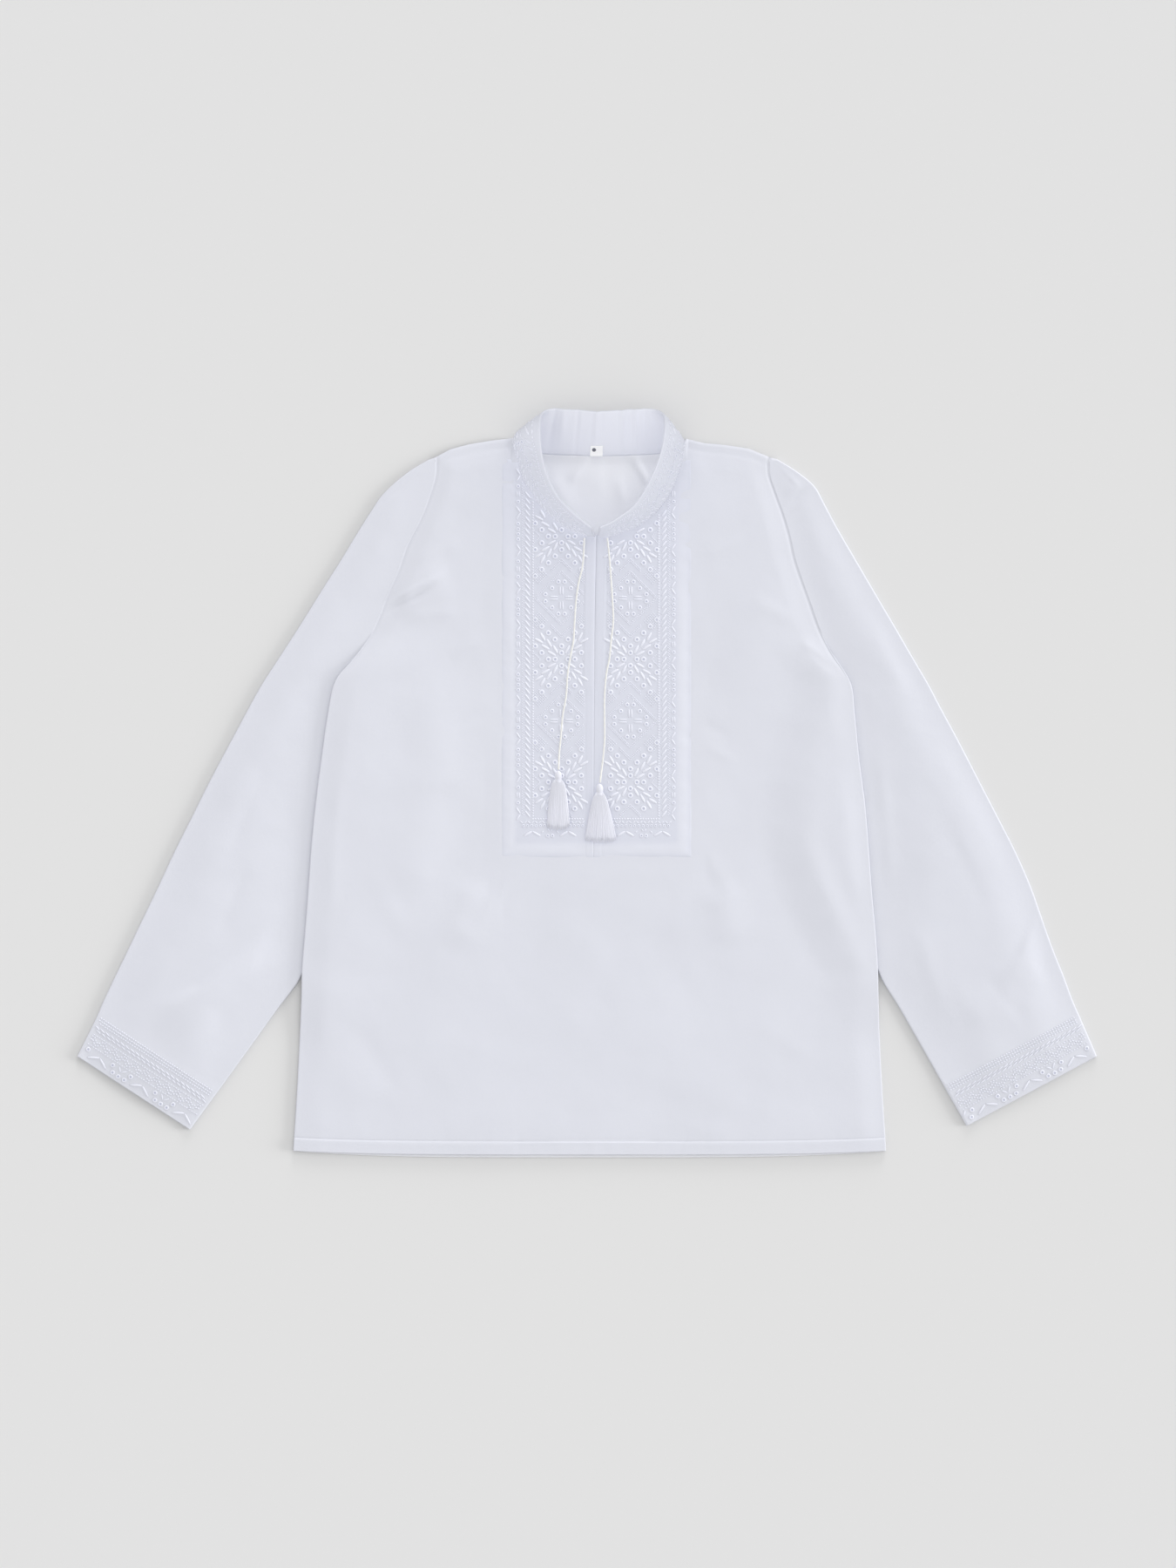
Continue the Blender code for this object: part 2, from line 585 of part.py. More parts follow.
def smooth_route(points, step):
    """Points a step apart on a smooth curve through the given ones."""
    points = np.asarray(points, float)
    padded = np.concatenate([2 * points[:1] - points[1:2], points, 2 * points[-1:] - points[-2:-1]])
    t = np.linspace(0, 1, CURVE_CUTS, endpoint=False)[:, None]
    pieces = []
    for a, b, c, d in zip(padded[:-3], padded[1:-2], padded[2:-1], padded[3:]):
        square, cube = 2 * a - 5 * b + 4 * c - d, 3 * b - a - 3 * c + d
        pieces.append((2 * b + (c - a) * t + square * t**2 + cube * t**3) / 2)
    fine = np.concatenate([*pieces, points[-1:]])
    length = np.concatenate([[0], np.cumsum(np.linalg.norm(np.diff(fine, axis=0), axis=1))])
    even = np.linspace(0, length[-1], int(round(length[-1] / step)) + 1)
    return np.column_stack([np.interp(even, length, fine[:, axis]) for axis in range(points.shape[1])])


def add_tie(name, route, collection, material):
    """A tie lies on the bib and rises at its end to the middle of the tassel's head."""
    path = smooth_route(route, TIE_STEP)
    radius = TIE_DIAMETER / 2
    lying = LEVELS["bib"] + SEAM_GAP + radius
    at_head = LEVELS["bib"] + SEAM_GAP + HEAD_RADII[2]
    to_end = np.linalg.norm(path - path[-1], axis=1)
    height = lying + (at_head - lying) * (1 - smoothstep(to_end / TIE_RISE_OVER))
    curve = bpy.data.curves.new(name, "CURVE")
    curve.dimensions = "3D"
    curve.bevel_depth = radius * MM
    curve.bevel_resolution = TIE_BEVEL_STEPS
    curve.use_fill_caps = True
    spline = curve.splines.new("POLY")
    spline.points.add(len(path) - 1)
    for point, (x, y), z in zip(spline.points, path, height):
        point.co = (x * MM, y * MM, z * MM, 1.0)
    curve.materials.append(material)
    obj = bpy.data.objects.new(name, curve)
    collection.objects.link(obj)
    return obj


def add_tassel(name, tassel, collection, cutters, material):
    """A wound head with a skirt of three-sided strands, which are rooted in its lower end."""
    head_z = LEVELS["bib"] + SEAM_GAP + HEAD_RADII[2]
    bpy.ops.mesh.primitive_uv_sphere_add(segments=HEAD_SEGMENTS, ring_count=HEAD_RINGS, radius=MM)
    head = bpy.context.object
    head.name = name
    for vertex in head.data.vertices:
        for axis, radius in enumerate(HEAD_RADII):
            vertex.co[axis] *= radius
    head.location = (tassel.head_x * MM, tassel.head_y * MM, head_z * MM)
    head.data.materials.append(material)
    for other in head.users_collection:
        other.objects.unlink(head)
    collection.objects.link(head)

    along = np.array(STRAND_STATIONS)
    corner = np.radians([90, 210, 330])
    points, faces = [], []
    for layer in range(STRAND_LAYERS):
        for number in range(STRANDS_ACROSS - layer):
            place = (number - (STRANDS_ACROSS - layer - 1) / 2) / (STRANDS_ACROSS - 1)
            width = tassel.root_width + (tassel.tip_width - tassel.root_width) * along**SPREAD_POWER
            radius = STRAND_FILL * width / (STRANDS_ACROSS - 1)
            own_turn = math.sin(RAGGED_STEP * number + RAGGED_LAYER_STEP * layer)
            ragged = 1.0 - RAGGED * own_turn**2 - LAYER_SHORTENING * layer
            ragged *= 1 - SIDE_SHORTENING * (2 * place) ** 2
            reach = STRAND_START + STRAND_LENGTH * ragged * along
            x = tassel.head_x + place * width + tassel.lean * along
            y = tassel.head_y - reach
            lowest = LEVELS["bib"] + SEAM_GAP + radius + STRAND_CLEARANCE
            root = head_z + (layer - 1) * ROOT_LAYER_RISE
            stacked = lowest + layer * (radius * LAYER_OVERLAP + LAYER_RISE)
            z = root + (stacked - root) * smoothstep(along / STRAND_SETTLED)
            first = len(points)
            for ring in range(len(along)):
                for angle in corner:
                    points.append(
                        (
                            x[ring] + radius[ring] * math.cos(angle),
                            y[ring],
                            z[ring] + radius[ring] * math.sin(angle),
                        )
                    )
            for ring in range(len(along) - 1):
                for i in range(3):
                    a, b = first + 3 * ring + i, first + 3 * ring + (i + 1) % 3
                    faces.append((a, b, b + 3, a + 3))
            last = first + 3 * (len(along) - 1)
            faces += [(first + 2, first + 1, first), (last, last + 1, last + 2)]
    strands = add_mesh(name + "_strands", points, faces, cutters)
    strands.hide_render = True
    strands.display_type = "WIRE"
    union = head.modifiers.new("strands", "BOOLEAN")
    union.operation = "UNION"
    union.object = strands
    return head


def main():
    for obj in list(bpy.data.objects):
        bpy.data.objects.remove(obj)
    shirt = bpy.data.collections.new("vyshyvanka_shirt")
    cutters = bpy.data.collections.new("cutters")
    for collection in (shirt, cutters):
        bpy.context.scene.collection.children.link(collection)
    materials = {name: make_material(name) for name in FINISHES}
    add_back(shirt, materials["linen"])
    add_front(shirt, cutters, materials["linen"])
    add_sleeve("sleeve_right", ARM_RIGHT, -1, shirt, materials["linen"])
    add_sleeve("sleeve_left", ARM_LEFT, 1, shirt, materials["linen"])
    add_bib("bib_right", -1, shirt, materials["embroidered_linen"])
    add_bib("bib_left", 1, shirt, materials["embroidered_linen"])
    add_collar(shirt, materials["embroidered_linen"])
    add_label(shirt, materials["label_tape"])
    add_tie("tie_right", TIE_RIGHT, shirt, materials["tie_cord"])
    add_tie("tie_left", TIE_LEFT, shirt, materials["tie_cord"])
    add_tassel("tassel_right", TASSEL_RIGHT, shirt, cutters, materials["tassel_yarn"])
    add_tassel("tassel_left", TASSEL_LEFT, shirt, cutters, materials["tassel_yarn"])


main()
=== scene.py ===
import json
import math
import bpy
import numpy as np
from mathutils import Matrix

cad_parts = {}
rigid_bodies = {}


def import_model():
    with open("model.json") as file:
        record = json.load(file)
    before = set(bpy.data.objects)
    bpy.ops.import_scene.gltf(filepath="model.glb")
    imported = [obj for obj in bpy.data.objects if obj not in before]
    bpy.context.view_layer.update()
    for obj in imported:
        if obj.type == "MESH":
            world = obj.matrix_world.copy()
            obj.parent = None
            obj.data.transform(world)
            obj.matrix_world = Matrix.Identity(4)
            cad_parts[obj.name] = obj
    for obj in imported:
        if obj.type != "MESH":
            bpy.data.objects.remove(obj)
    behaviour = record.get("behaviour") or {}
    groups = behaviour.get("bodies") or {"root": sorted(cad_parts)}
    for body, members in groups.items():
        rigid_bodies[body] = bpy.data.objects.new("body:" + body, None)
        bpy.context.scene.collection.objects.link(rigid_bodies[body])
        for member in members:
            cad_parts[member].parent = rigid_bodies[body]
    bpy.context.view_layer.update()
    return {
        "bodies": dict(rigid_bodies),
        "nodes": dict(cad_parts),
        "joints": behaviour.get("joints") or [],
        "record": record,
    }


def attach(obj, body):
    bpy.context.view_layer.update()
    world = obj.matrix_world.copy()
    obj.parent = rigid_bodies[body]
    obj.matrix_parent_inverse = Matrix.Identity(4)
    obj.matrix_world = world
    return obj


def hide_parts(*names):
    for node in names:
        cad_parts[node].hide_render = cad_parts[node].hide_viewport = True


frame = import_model()
mm = 0.001

# Camera, floor and light. The picture is 1350 x 1800 and looks straight down.
studio = {
    "frameHeight": 1.26,  # metres of floor from the picture's top to its bottom
    "centre": (0.0007, -0.00035),
    "lens": 200.0,
    "sensor": 36.0,
    "floorSize": 9.0,
    "floorDrop": 0.0001,
    "floorColour": (0.715, 0.715, 0.715),
    "skyStrength": 0.775,
    # each soft light: name, strength, elevation, azimuth from +X towards +Y and spread, in degrees
    "suns": (
        ("lowRight", 1.50, 11.0, 8.0, 18.0),
        ("lowTop", 1.30, 11.0, 82.0, 18.0),
        ("softKey", 0.24, 38.0, 45.0, 40.0),
        ("weakFill", 0.46, 30.0, 230.0, 60.0),
        ("collarKey", 0.68, 68.0, 10.0, 16.0),
        ("groundKey", 1.55, 8.5, -6.0, 16.0),
    ),
}


def linked(name, pieces, state):
    # a collection of pieces that a light is meant for, or that it leaves out
    group = bpy.data.collections.new(name)
    for piece in pieces:
        group.objects.link(piece)
    for member in group.collection_objects:
        member.light_linking.link_state = state
    return group


def shareLight(suns, floor, standing, small):
    # the low lights leave the standing collar to a light of its own, and neither it nor small things
    # throw long shadows; the floor has a low light of its own in place of the weak fill
    apart = linked("apart", standing, "EXCLUDE")
    shadeless = linked("shadeless", standing + small, "EXCLUDE")
    for name in ("lowRight", "lowTop"):
        suns[name].light_linking.receiver_collection = apart
    for name in ("lowRight", "lowTop", "collarKey", "groundKey"):
        suns[name].light_linking.blocker_collection = shadeless
    suns["collarKey"].light_linking.receiver_collection = linked("standing", standing, "INCLUDE")
    suns["groundKey"].light_linking.receiver_collection = linked("ground", [floor], "INCLUDE")
    suns["weakFill"].light_linking.receiver_collection = linked("offGround", [floor], "EXCLUDE")


def setUpStudio(s):
    # the camera's height follows from the lens and from how much floor the picture shows
    camera = bpy.data.cameras.new("camera")
    camera.sensor_fit = "VERTICAL"
    camera.sensor_height = s["sensor"]
    camera.lens = s["lens"]
    cameraObject = bpy.data.objects.new("camera", camera)
    cameraObject.location = (*s["centre"], s["frameHeight"] * s["lens"] / s["sensor"])
    bpy.context.scene.collection.objects.link(cameraObject)
    bpy.context.scene.camera = cameraObject

    suns = {}
    for name, strength, elevation, azimuth, spread in s["suns"]:
        sun = bpy.data.lights.new(name, "SUN")
        sun.energy = strength
        sun.angle = math.radians(spread)
        sunObject = bpy.data.objects.new(name, sun)
        sunObject.rotation_euler = (0, math.radians(90 - elevation), math.radians(azimuth))
        bpy.context.scene.collection.objects.link(sunObject)
        suns[name] = sunObject

    world = bpy.data.worlds.new("studio")
    world.use_nodes = True
    sky = world.node_tree.nodes["Background"]
    sky.inputs["Color"].default_value = (1, 1, 1, 1)
    sky.inputs["Strength"].default_value = s["skyStrength"]
    bpy.context.scene.world = world
    bpy.context.scene.view_settings.view_transform = "Standard"

    half = s["floorSize"] / 2
    corners = [(-half, -half, 0), (half, -half, 0), (half, half, 0), (-half, half, 0)]
    mesh = bpy.data.meshes.new("floor")
    mesh.from_pydata(corners, [], [(0, 1, 2, 3)])
    floor = bpy.data.objects.new("floor", mesh)
    bpy.context.scene.collection.objects.link(floor)
    floor.location.z = -s["floorDrop"]
    material = bpy.data.materials.new("paleFloor")
    material.use_nodes = True
    shader = material.node_tree.nodes["Principled BSDF"]
    shader.inputs["Base Color"].default_value = (*s["floorColour"], 1)
    shader.inputs["Roughness"].default_value = 1.0
    shader.inputs["Specular IOR Level"].default_value = 0.0
    mesh.materials.append(material)
    return suns, floor


suns, floor = setUpStudio(studio)
print("studio: camera, light and floor are set")

# Finishes: colours are linear values, weave and fibre are in millimetres
finishes = {
    "linen": {"colour": (0.712, 0.725, 0.790), "weave": 0.55, "depth": 0.10, "sheen": 0.12},
    # the back's cloth is painted lighter than the front's linen: painted light where the back shows inside the
    # collar, in its shade
    "backLinenPaintedLight": {"colour": (0.885, 0.894, 0.935), "weave": 0.55, "depth": 0.10, "sheen": 0.12},
    # the bib's ground is painted darker than the front's linen, a painted shade of the embroidery's small
    # shadows; the plain border strip is marked a lighter colour
    "bibLinenPaintedShade": {"colour": (0.690, 0.706, 0.790), "weave": 0.62, "depth": 0.10, "sheen": 0.10,
                 "marked": ("unshadedBorder", (0.724, 0.738, 0.812))},
    # the collar's inner side is painted lighter than the cloth: painted light in the shade inside the standing
    # collar
    "collarLinenPaintedLight": {"colour": (0.790, 0.802, 0.870), "weave": 0.55, "depth": 0.10, "sheen": 0.12},
    "collarOuter": {"colour": (0.730, 0.746, 0.822), "weave": 0.62, "depth": 0.14, "sheen": 0.10},
    "labelTape": {"colour": (0.96, 0.96, 0.965), "weave": 0.30, "depth": 0.06, "roughness": 0.55},
    "labelMark": {"colour": (0.16, 0.17, 0.20), "fibre": 0.5, "roughness": 0.6},
    "thread": {"colour": (0.800, 0.814, 0.892), "fibre": 0.35, "roughness": 0.50, "sheen": 0.20,
               # the eyelets' holes are painted dark: a painted shade standing for the shadow seen through each
               # hole
               "marked": ("holeShade", (0.54, 0.56, 0.68))},
    "tieCord": {"colour": (0.800, 0.797, 0.775), "fibre": 0.5, "roughness": 0.62, "sheen": 0.15},
    "tasselYarn": {"colour": (0.735, 0.742, 0.812), "fibre": 0.4, "roughness": 0.58, "sheen": 0.25},
    # what they have in common
    "clothRoughness": 0.88,
    "sheenRoughness": 0.45,
    "gloss": 0.25,
    "unevenTone": 0.05,
    "fibreDepth": 0.08,
    "wander": 0.0003,  # metres by which the weave strays
}


def newNode(tree, kind, place=None, **values):
    # a shader node with these inputs set, that reads the place if one is given
    node = tree.nodes.new("ShaderNode" + kind)
    for socket, value in values.items():
        node.inputs[socket].default_value = value
    if place is not None:
        tree.links.new(place, node.inputs["Vector"])
    return node


def worked(tree, operation, first, second):
    # the result of a sum or a product of two outputs
    both = newNode(tree, "Math")
    both.operation = operation
    tree.links.new(first, both.inputs[0])
    tree.links.new(second, both.inputs[1])
    return both.outputs["Value"]


def blended(tree, share, first, second):
    # goes over from the first colour to the second as the share goes from 0 to 1
    mix = newNode(tree, "Mix")
    mix.data_type = "RGBA"
    tree.links.new(share, mix.inputs["Factor"])
    for socket, colour in (("A", first), ("B", second)):
        if isinstance(colour, tuple):
            mix.inputs[socket].default_value = (*colour, 1)
        else:
            tree.links.new(colour, mix.inputs[socket])
    return mix.outputs["Result"]


def wovenHeight(tree, place, weave):
    # plain weave: warp and weft ridges across each other, uneven as spun yarn
    stray = newNode(tree, "TexNoise", place, Scale=90.0)
    bent = newNode(tree, "VectorMath")
    bent.operation = "MULTIPLY_ADD"
    bent.inputs[1].default_value = (finishes["wander"],) * 3
    tree.links.new(stray.outputs["Color"], bent.inputs[0])
    tree.links.new(place, bent.inputs[2])
    # the wave's phase is 20 times scale times place, so this gives one ridge to a thread
    scale = 1 / (weave * mm) / 20 * 2 * math.pi
    threads = []
    for direction in ("X", "Y"):
        wave = newNode(tree, "TexWave", bent.outputs["Vector"], Scale=scale)
        wave.bands_direction = direction
        threads.append(wave.outputs["Fac"])
    slub = newNode(tree, "TexNoise", place, Scale=420.0, Detail=3.0)
    return worked(tree, "ADD", worked(tree, "MULTIPLY", *threads), slub.outputs["Fac"])


def newFinish(name):
    # cloth has a weave under a soft cloudy tone, yarn has fine fibres; a mesh may mark a second colour
    finish = finishes[name]
    cloth = "weave" in finish
    material = bpy.data.materials.new(name)
    material.use_nodes = True
    tree = material.node_tree
    shader = tree.nodes["Principled BSDF"]
    shader.inputs["Roughness"].default_value = finish.get("roughness", finishes["clothRoughness"])
    shader.inputs["Sheen Weight"].default_value = finish.get("sheen", 0.0)
    shader.inputs["Sheen Roughness"].default_value = finishes["sheenRoughness"]
    shader.inputs["Specular IOR Level"].default_value = finishes["gloss"]
    place = newNode(tree, "TexCoord").outputs["Object"]
    if cloth:
        height = wovenHeight(tree, place, finish["weave"])
        tone = newNode(tree, "TexNoise", place, Scale=14.0, Detail=4.0).outputs["Fac"]
        bump = newNode(tree, "Bump", Strength=0.5, Distance=finish["depth"] * mm)
    else:
        scale = 1 / (finish["fibre"] * mm)
        tone = height = newNode(tree, "TexNoise", place, Scale=scale, Detail=2.0).outputs["Fac"]
        bump = newNode(tree, "Bump", Strength=0.35, Distance=finishes["fibreDepth"] * mm)
    tree.links.new(height, bump.inputs["Height"])
    tree.links.new(bump.outputs["Normal"], shader.inputs["Normal"])
    darker = tuple(c * (1 - finishes["unevenTone"]) for c in finish["colour"])
    colour = blended(tree, tone, darker, finish["colour"])
    if "marked" in finish:
        attribute, other = finish["marked"]
        marked = newNode(tree, "Attribute")
        marked.attribute_name = attribute
        colour = blended(tree, marked.outputs["Fac"], colour, other)
    tree.links.new(colour, shader.inputs["Base Color"])
    return material


linen, backLinenPaintedLight, bibLinenPaintedShade, collarLinenPaintedLight = map(newFinish, ("linen", "backLinenPaintedLight", "bibLinenPaintedShade", "collarLinenPaintedLight"))
collarOuter, labelTape, labelMark = map(newFinish, ("collarOuter", "labelTape", "labelMark"))
thread, tieCord, tasselYarn = map(newFinish, ("thread", "tieCord", "tasselYarn"))
print("finishes are made")


def smoothstep(value):
    # 0 up to 0, 1 from 1 on, and an S-shaped rise between
    value = np.clip(value, 0, 1)
    return value * value * (3 - 2 * value)


def bell(value, width):
    # 1 at nought, falling off to both sides over about the width
    return np.exp(-((value / width) ** 2))


def travelled(path):
    # how far each point lies along the path
    return np.concatenate([[0], np.cumsum(np.linalg.norm(np.diff(path, axis=0), axis=1))])


def smoothAt(points, at):
    # one smooth curve through all the points (Catmull-Rom), read at fractional row numbers
    points = np.asarray(points, float)
    padded = np.concatenate([2 * points[:1] - points[1:2], points, 2 * points[-1:] - points[-2:-1]])
    cell = np.clip(np.floor(at).astype(int), 0, len(points) - 2)
    t = (np.asarray(at, float) - cell)[:, None]
    a, b, c, d = (padded[cell + k] for k in range(4))
    return b + 0.5 * t * (c - a + t * (2 * a - 5 * b + 4 * c - d + t * (3 * b - a - 3 * c + d)))


def evenRows(points, step, first=0.0):
    # fractional row numbers that lie one step apart along the smooth curve
    fine = np.linspace(first, len(points) - 1, 40 * len(points))
    length = travelled(smoothAt(points, fine))
    count = int(round(length[-1] / step))
    return np.interp(np.linspace(0, length[-1], count + 1), length, fine)


def gridFaces(rows, columns, wrap=False):
    # quads between neighbouring rows and columns, the last column joined to the first if it wraps
    row, column = np.meshgrid(np.arange(rows - 1), np.arange(columns if wrap else columns - 1), indexing="ij")
    along = (column + 1) % columns
    here, above = row * columns, (row + 1) * columns
    return np.stack([c.ravel() for c in (here + column, here + along, above + along, above + column)], axis=1)


def newPiece(name, points, faces, material):
    # points in millimetres; faces is a list of arrays of corner numbers
    mesh = bpy.data.meshes.new(name)
    mesh.vertices.add(len(points))
    mesh.vertices.foreach_set("co", (np.asarray(points, float) * mm).ravel())
    sizes = np.concatenate([np.full(len(group), group.shape[1]) for group in faces])
    corners = np.concatenate([group.ravel() for group in faces])
    mesh.loops.add(len(corners))
    mesh.loops.foreach_set("vertex_index", corners)
    mesh.polygons.add(len(sizes))
    mesh.polygons.foreach_set("loop_start", np.concatenate([[0], np.cumsum(sizes)[:-1]]))
    mesh.polygons.foreach_set("loop_total", sizes)
    mesh.update(calc_edges=True)
    mesh.validate()
    mesh.materials.append(material)
    mesh.shade_smooth()
    piece = bpy.data.objects.new(name, mesh)
    bpy.context.scene.collection.objects.link(piece)
    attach(piece, "root")
    return piece


def thicken(piece, thickness, offset=-1):
    # a wall on the inner side, or on the outer one where the offset is 1
    wall = piece.modifiers.new("wall", "SOLIDIFY")
    wall.thickness = thickness * mm
    wall.offset = offset
    wall.use_even_offset = True
    # the narrow rims take their shading from the broad faces beside them
    edges = piece.modifiers.new("edges", "WEIGHTED_NORMAL")
    edges.weight = 100


def newSheet(name, grid, material, wall, node, offset=-1):
    # a grid of points as cloth with a thickness, in place of a solid
    piece = newPiece(name, grid.reshape(-1, 3), [gridFaces(*grid.shape[:2])], material)
    thicken(piece, wall, offset)
    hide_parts(node)
    return piece


# The ties, one smooth curve each through listed points, in millimetres as seen from above
ties = {
    "diameter": 1.6,
    "lyingZ": 5.9,
    "headZ": 7.8,
    "riseOver": 14,
    "step": 0.55,
    "twist": 5.2,  # millimetres to one turn
    "lobe": 0.08,
    "sides": 12,
    "right": ((-2.2, 197.2), (-3.5, 176), (-7, 160), (-9, 145), (-10, 130), (-11, 114.5),
              (-13.5, 101), (-15.5, 88.5), (-17, 69), (-19.5, 55), (-21, 38), (-22.3, 25),
              (-22.9, 11.2)),
    "left": ((16.2, 197.2), (18, 180), (19.5, 160), (20.5, 145), (21, 130), (19.5, 116.5),
             (18, 101), (15.5, 88), (14, 69.5), (14, 50), (14, 34.5), (12.5, 18),
             (10.3, 0.7)),
}


def makeTie(name, route, node):
    # a two-ply cord: a round profile with two lobes that turn as it is carried along the path
    rows = evenRows(route, ties["step"])
    plan = smoothAt(route, rows)
    toEnd = np.linalg.norm(plan - plan[-1], axis=1)
    z = ties["lyingZ"] + (ties["headZ"] - ties["lyingZ"]) * (1 - smoothstep(toEnd / ties["riseOver"]))
    path = np.column_stack([plan, z])
    travel = travelled(path)
    heading = np.gradient(path, axis=0)
    heading /= np.linalg.norm(heading, axis=1, keepdims=True)
    side = np.cross(heading, [0, 0, 1.0])
    side /= np.linalg.norm(side, axis=1, keepdims=True)
    up = np.cross(side, heading)
    angle = np.linspace(0, 2 * math.pi, ties["sides"], endpoint=False)
    lobes = np.cos(2 * (angle[None] - math.pi * travel[:, None] / ties["twist"]))
    radius = ties["diameter"] / 2 * (1 - ties["lobe"] + ties["lobe"] * lobes)
    cosine, sine = np.cos(angle)[None, :, None], np.sin(angle)[None, :, None]
    ring = radius[..., None] * (cosine * side[:, None] + sine * up[:, None])
    points = np.concatenate([(path[:, None] + ring).reshape(-1, 3), path[:1], path[-1:]])
    # the ends close in a fan round the path's own end points
    count = len(angle)
    around = np.arange(count)
    following = (around + 1) % count
    last = count * (len(path) - 1)
    start = np.column_stack([np.full(count, len(points) - 2), following, around])
    end = np.column_stack([np.full(count, len(points) - 1), last + around, last + following])
    piece = newPiece(name, points, [gridFaces(len(path), count, wrap=True), start, end], tieCord)
    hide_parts(node)
    return piece, path, travel[-1]


tieRight, tieRightPath, tieRightLength = makeTie("tieRight", ties["right"], "tie_right")
tieLeft, tieLeftPath, tieLeftLength = makeTie("tieLeft", ties["left"], "tie_left")
print("ties", round(tieRightLength, 1), round(tieLeftLength, 1), "mm long")

# Tassels: a wound head on the tie's end, a binding and a skirt of fine strands
tassels = {
    "headRadii": (2.9, 4.6, 2.5),
    "headZ": 7.8,
    "headRings": 29,
    "headSides": 28,
    "windings": 11,
    "windingDepth": 0.035,
    "squeeze": 0.42,  # how much slimmer the head is under the binding
    "bindingBelow": 3.9,  # below the head's middle
    "bindingHeight": 2.2,
    "bindingRadii": (2.35, 2.05),
    "bindingTurns": 3,
    "bindingSides": 6,
    "strandLength": 41.0,
    "strandStart": 2.2,  # below the head's middle
    "strands": 122,
    "layers": 3,
    "strandRadius": 0.42,
    "stations": 12,
    "floorZ": 5.15,
    "rootHeight": 2.6,
    "sway": (0.22, 0.12),  # sideways and up
    "unevenPlace": 0.012,  # as a share of the skirt's half width
    "shortest": 0.93,
    "cornersShorter": 0.04,
    "right": {"x": -23.2, "y": 5.7, "lean": 0.2, "root": 4.2, "tip": 18, "depth": 3.4, "flare": 0.4, "seed": 11},
    "left": {"x": 10, "y": -4.8, "lean": 0.8, "root": 4.6, "tip": 24.5, "depth": 3.6, "flare": 0.62, "seed": 12},
}


def tasselHead(centre):
    # an ellipsoid whose surface waves across, as wound yarn does, squeezed where the binding grips it
    rows, around = tassels["headRings"], tassels["headSides"]
    tilt = np.linspace(0.02, math.pi - 0.02, rows)[:, None]
    turn = np.linspace(0, 2 * math.pi, around, endpoint=False)[None]
    wave = 1 + tassels["windingDepth"] * np.cos(tassels["windings"] * 2 * tilt + turn)
    squeeze = 1 - tassels["squeeze"] * smoothstep((tilt - 2.15) / 0.5)
    rx, ry, rz = tassels["headRadii"]
    head = np.stack([
        rx * np.sin(tilt) * np.cos(turn) * wave * squeeze,
        ry * np.cos(tilt) * np.ones_like(turn),
        rz * np.sin(tilt) * np.sin(turn) * wave * squeeze,
    ], axis=2) + centre
    top, end = np.arange(around)[None], (around * (rows - 1) + np.arange(around))[None, ::-1]
    return head.reshape(-1, 3), gridFaces(rows, around, wrap=True)[:, ::-1], [top, end]


def tasselBinding(centre):
    # thread wound round the neck: a six-sided profile carried along a coil
    turns, sides = tassels["bindingTurns"], tassels["bindingSides"]
    across, high = tassels["bindingRadii"]
    coil = np.linspace(0, 1, 24 * turns + 1)
    turn = coil * turns * 2 * math.pi
    drop = -tassels["bindingBelow"] + tassels["bindingHeight"] * (0.5 - coil)
    neck = np.column_stack([across * np.cos(turn), drop, high * np.sin(turn)]) + centre
    outward = np.column_stack([np.cos(turn), 0 * coil, np.sin(turn)])
    profile = np.linspace(0, 2 * math.pi, sides, endpoint=False)
    cosine, sine = np.cos(profile)[None, :, None], np.sin(profile)[None, :, None]
    binding = neck[:, None] + tassels["strandRadius"] * (cosine * outward[:, None] + sine * [0, 1.0, 0])
    first = np.arange(sides)
    caps = np.stack([first, sides * (len(neck) - 1) + first[::-1]])
    return binding.reshape(-1, 3), gridFaces(len(neck), sides, wrap=True), [caps]


def tasselSkirt(tassel):
    # each strand is a four-sided thread that spreads, sways and ends a little unevenly
    draw = np.random.default_rng(tassel["seed"])
    count, layers = tassels["strands"], tassels["layers"]
    along = np.linspace(0, 1, tassels["stations"])[None]
    layer = (np.arange(count) % layers)[:, None] / (layers - 1)
    uneven = tassels["unevenPlace"]
    place = np.linspace(-1, 1, count)[:, None] + draw.uniform(-uneven, uneven, (count, 1))
    phase = draw.uniform(0, 2 * math.pi, (count, 2, 1))
    ragged = draw.uniform(tassels["shortest"], 1.0, (count, 1)) - tassels["cornersShorter"] * place**2
    width = tassel["root"] + (tassel["tip"] - tassel["root"]) * along ** tassel["flare"]
    x = tassel["x"] + place * width / 2 + tassel["lean"] * along
    x = x + tassels["sway"][0] * along * np.sin(3.2 * along + phase[:, 0])
    y = tassel["y"] - tassels["strandStart"] - tassels["strandLength"] * ragged * along
    # the layers lie in a low dome that settles towards the tips
    dome = np.sqrt(np.clip(1 - 0.9 * place**2, 0.1, 1))
    spread = tassels["floorZ"] + 0.35 + layer * dome * tassel["depth"] * (1 - 0.45 * along)
    root = tassels["headZ"] + (layer - 0.5) * tassels["rootHeight"] * dome
    z = root + (spread - root) * smoothstep(along / 0.55)
    z = z + tassels["sway"][1] * np.sin(4.1 * along + phase[:, 1]) * along
    middle = np.stack([x, y, z], axis=2)
    square = np.array([[1, 0, 0], [0, 0, 1], [-1, 0, 0], [0, 0, -1]], float)
    thin = tassels["strandRadius"] * np.array([1.0] * (tassels["stations"] - 2) + [0.9, 0.55])
    strands = middle[:, :, None] + thin[None, :, None, None] * square[None, None]
    each = 4 * tassels["stations"]
    one = np.concatenate([
        gridFaces(tassels["stations"], 4, wrap=True),
        [[3, 2, 1, 0], [each - 4, each - 3, each - 2, each - 1]],
    ])
    quads = each * np.arange(count)[:, None, None] + one[None]
    return strands.reshape(-1, 3), quads.reshape(-1, 4), []


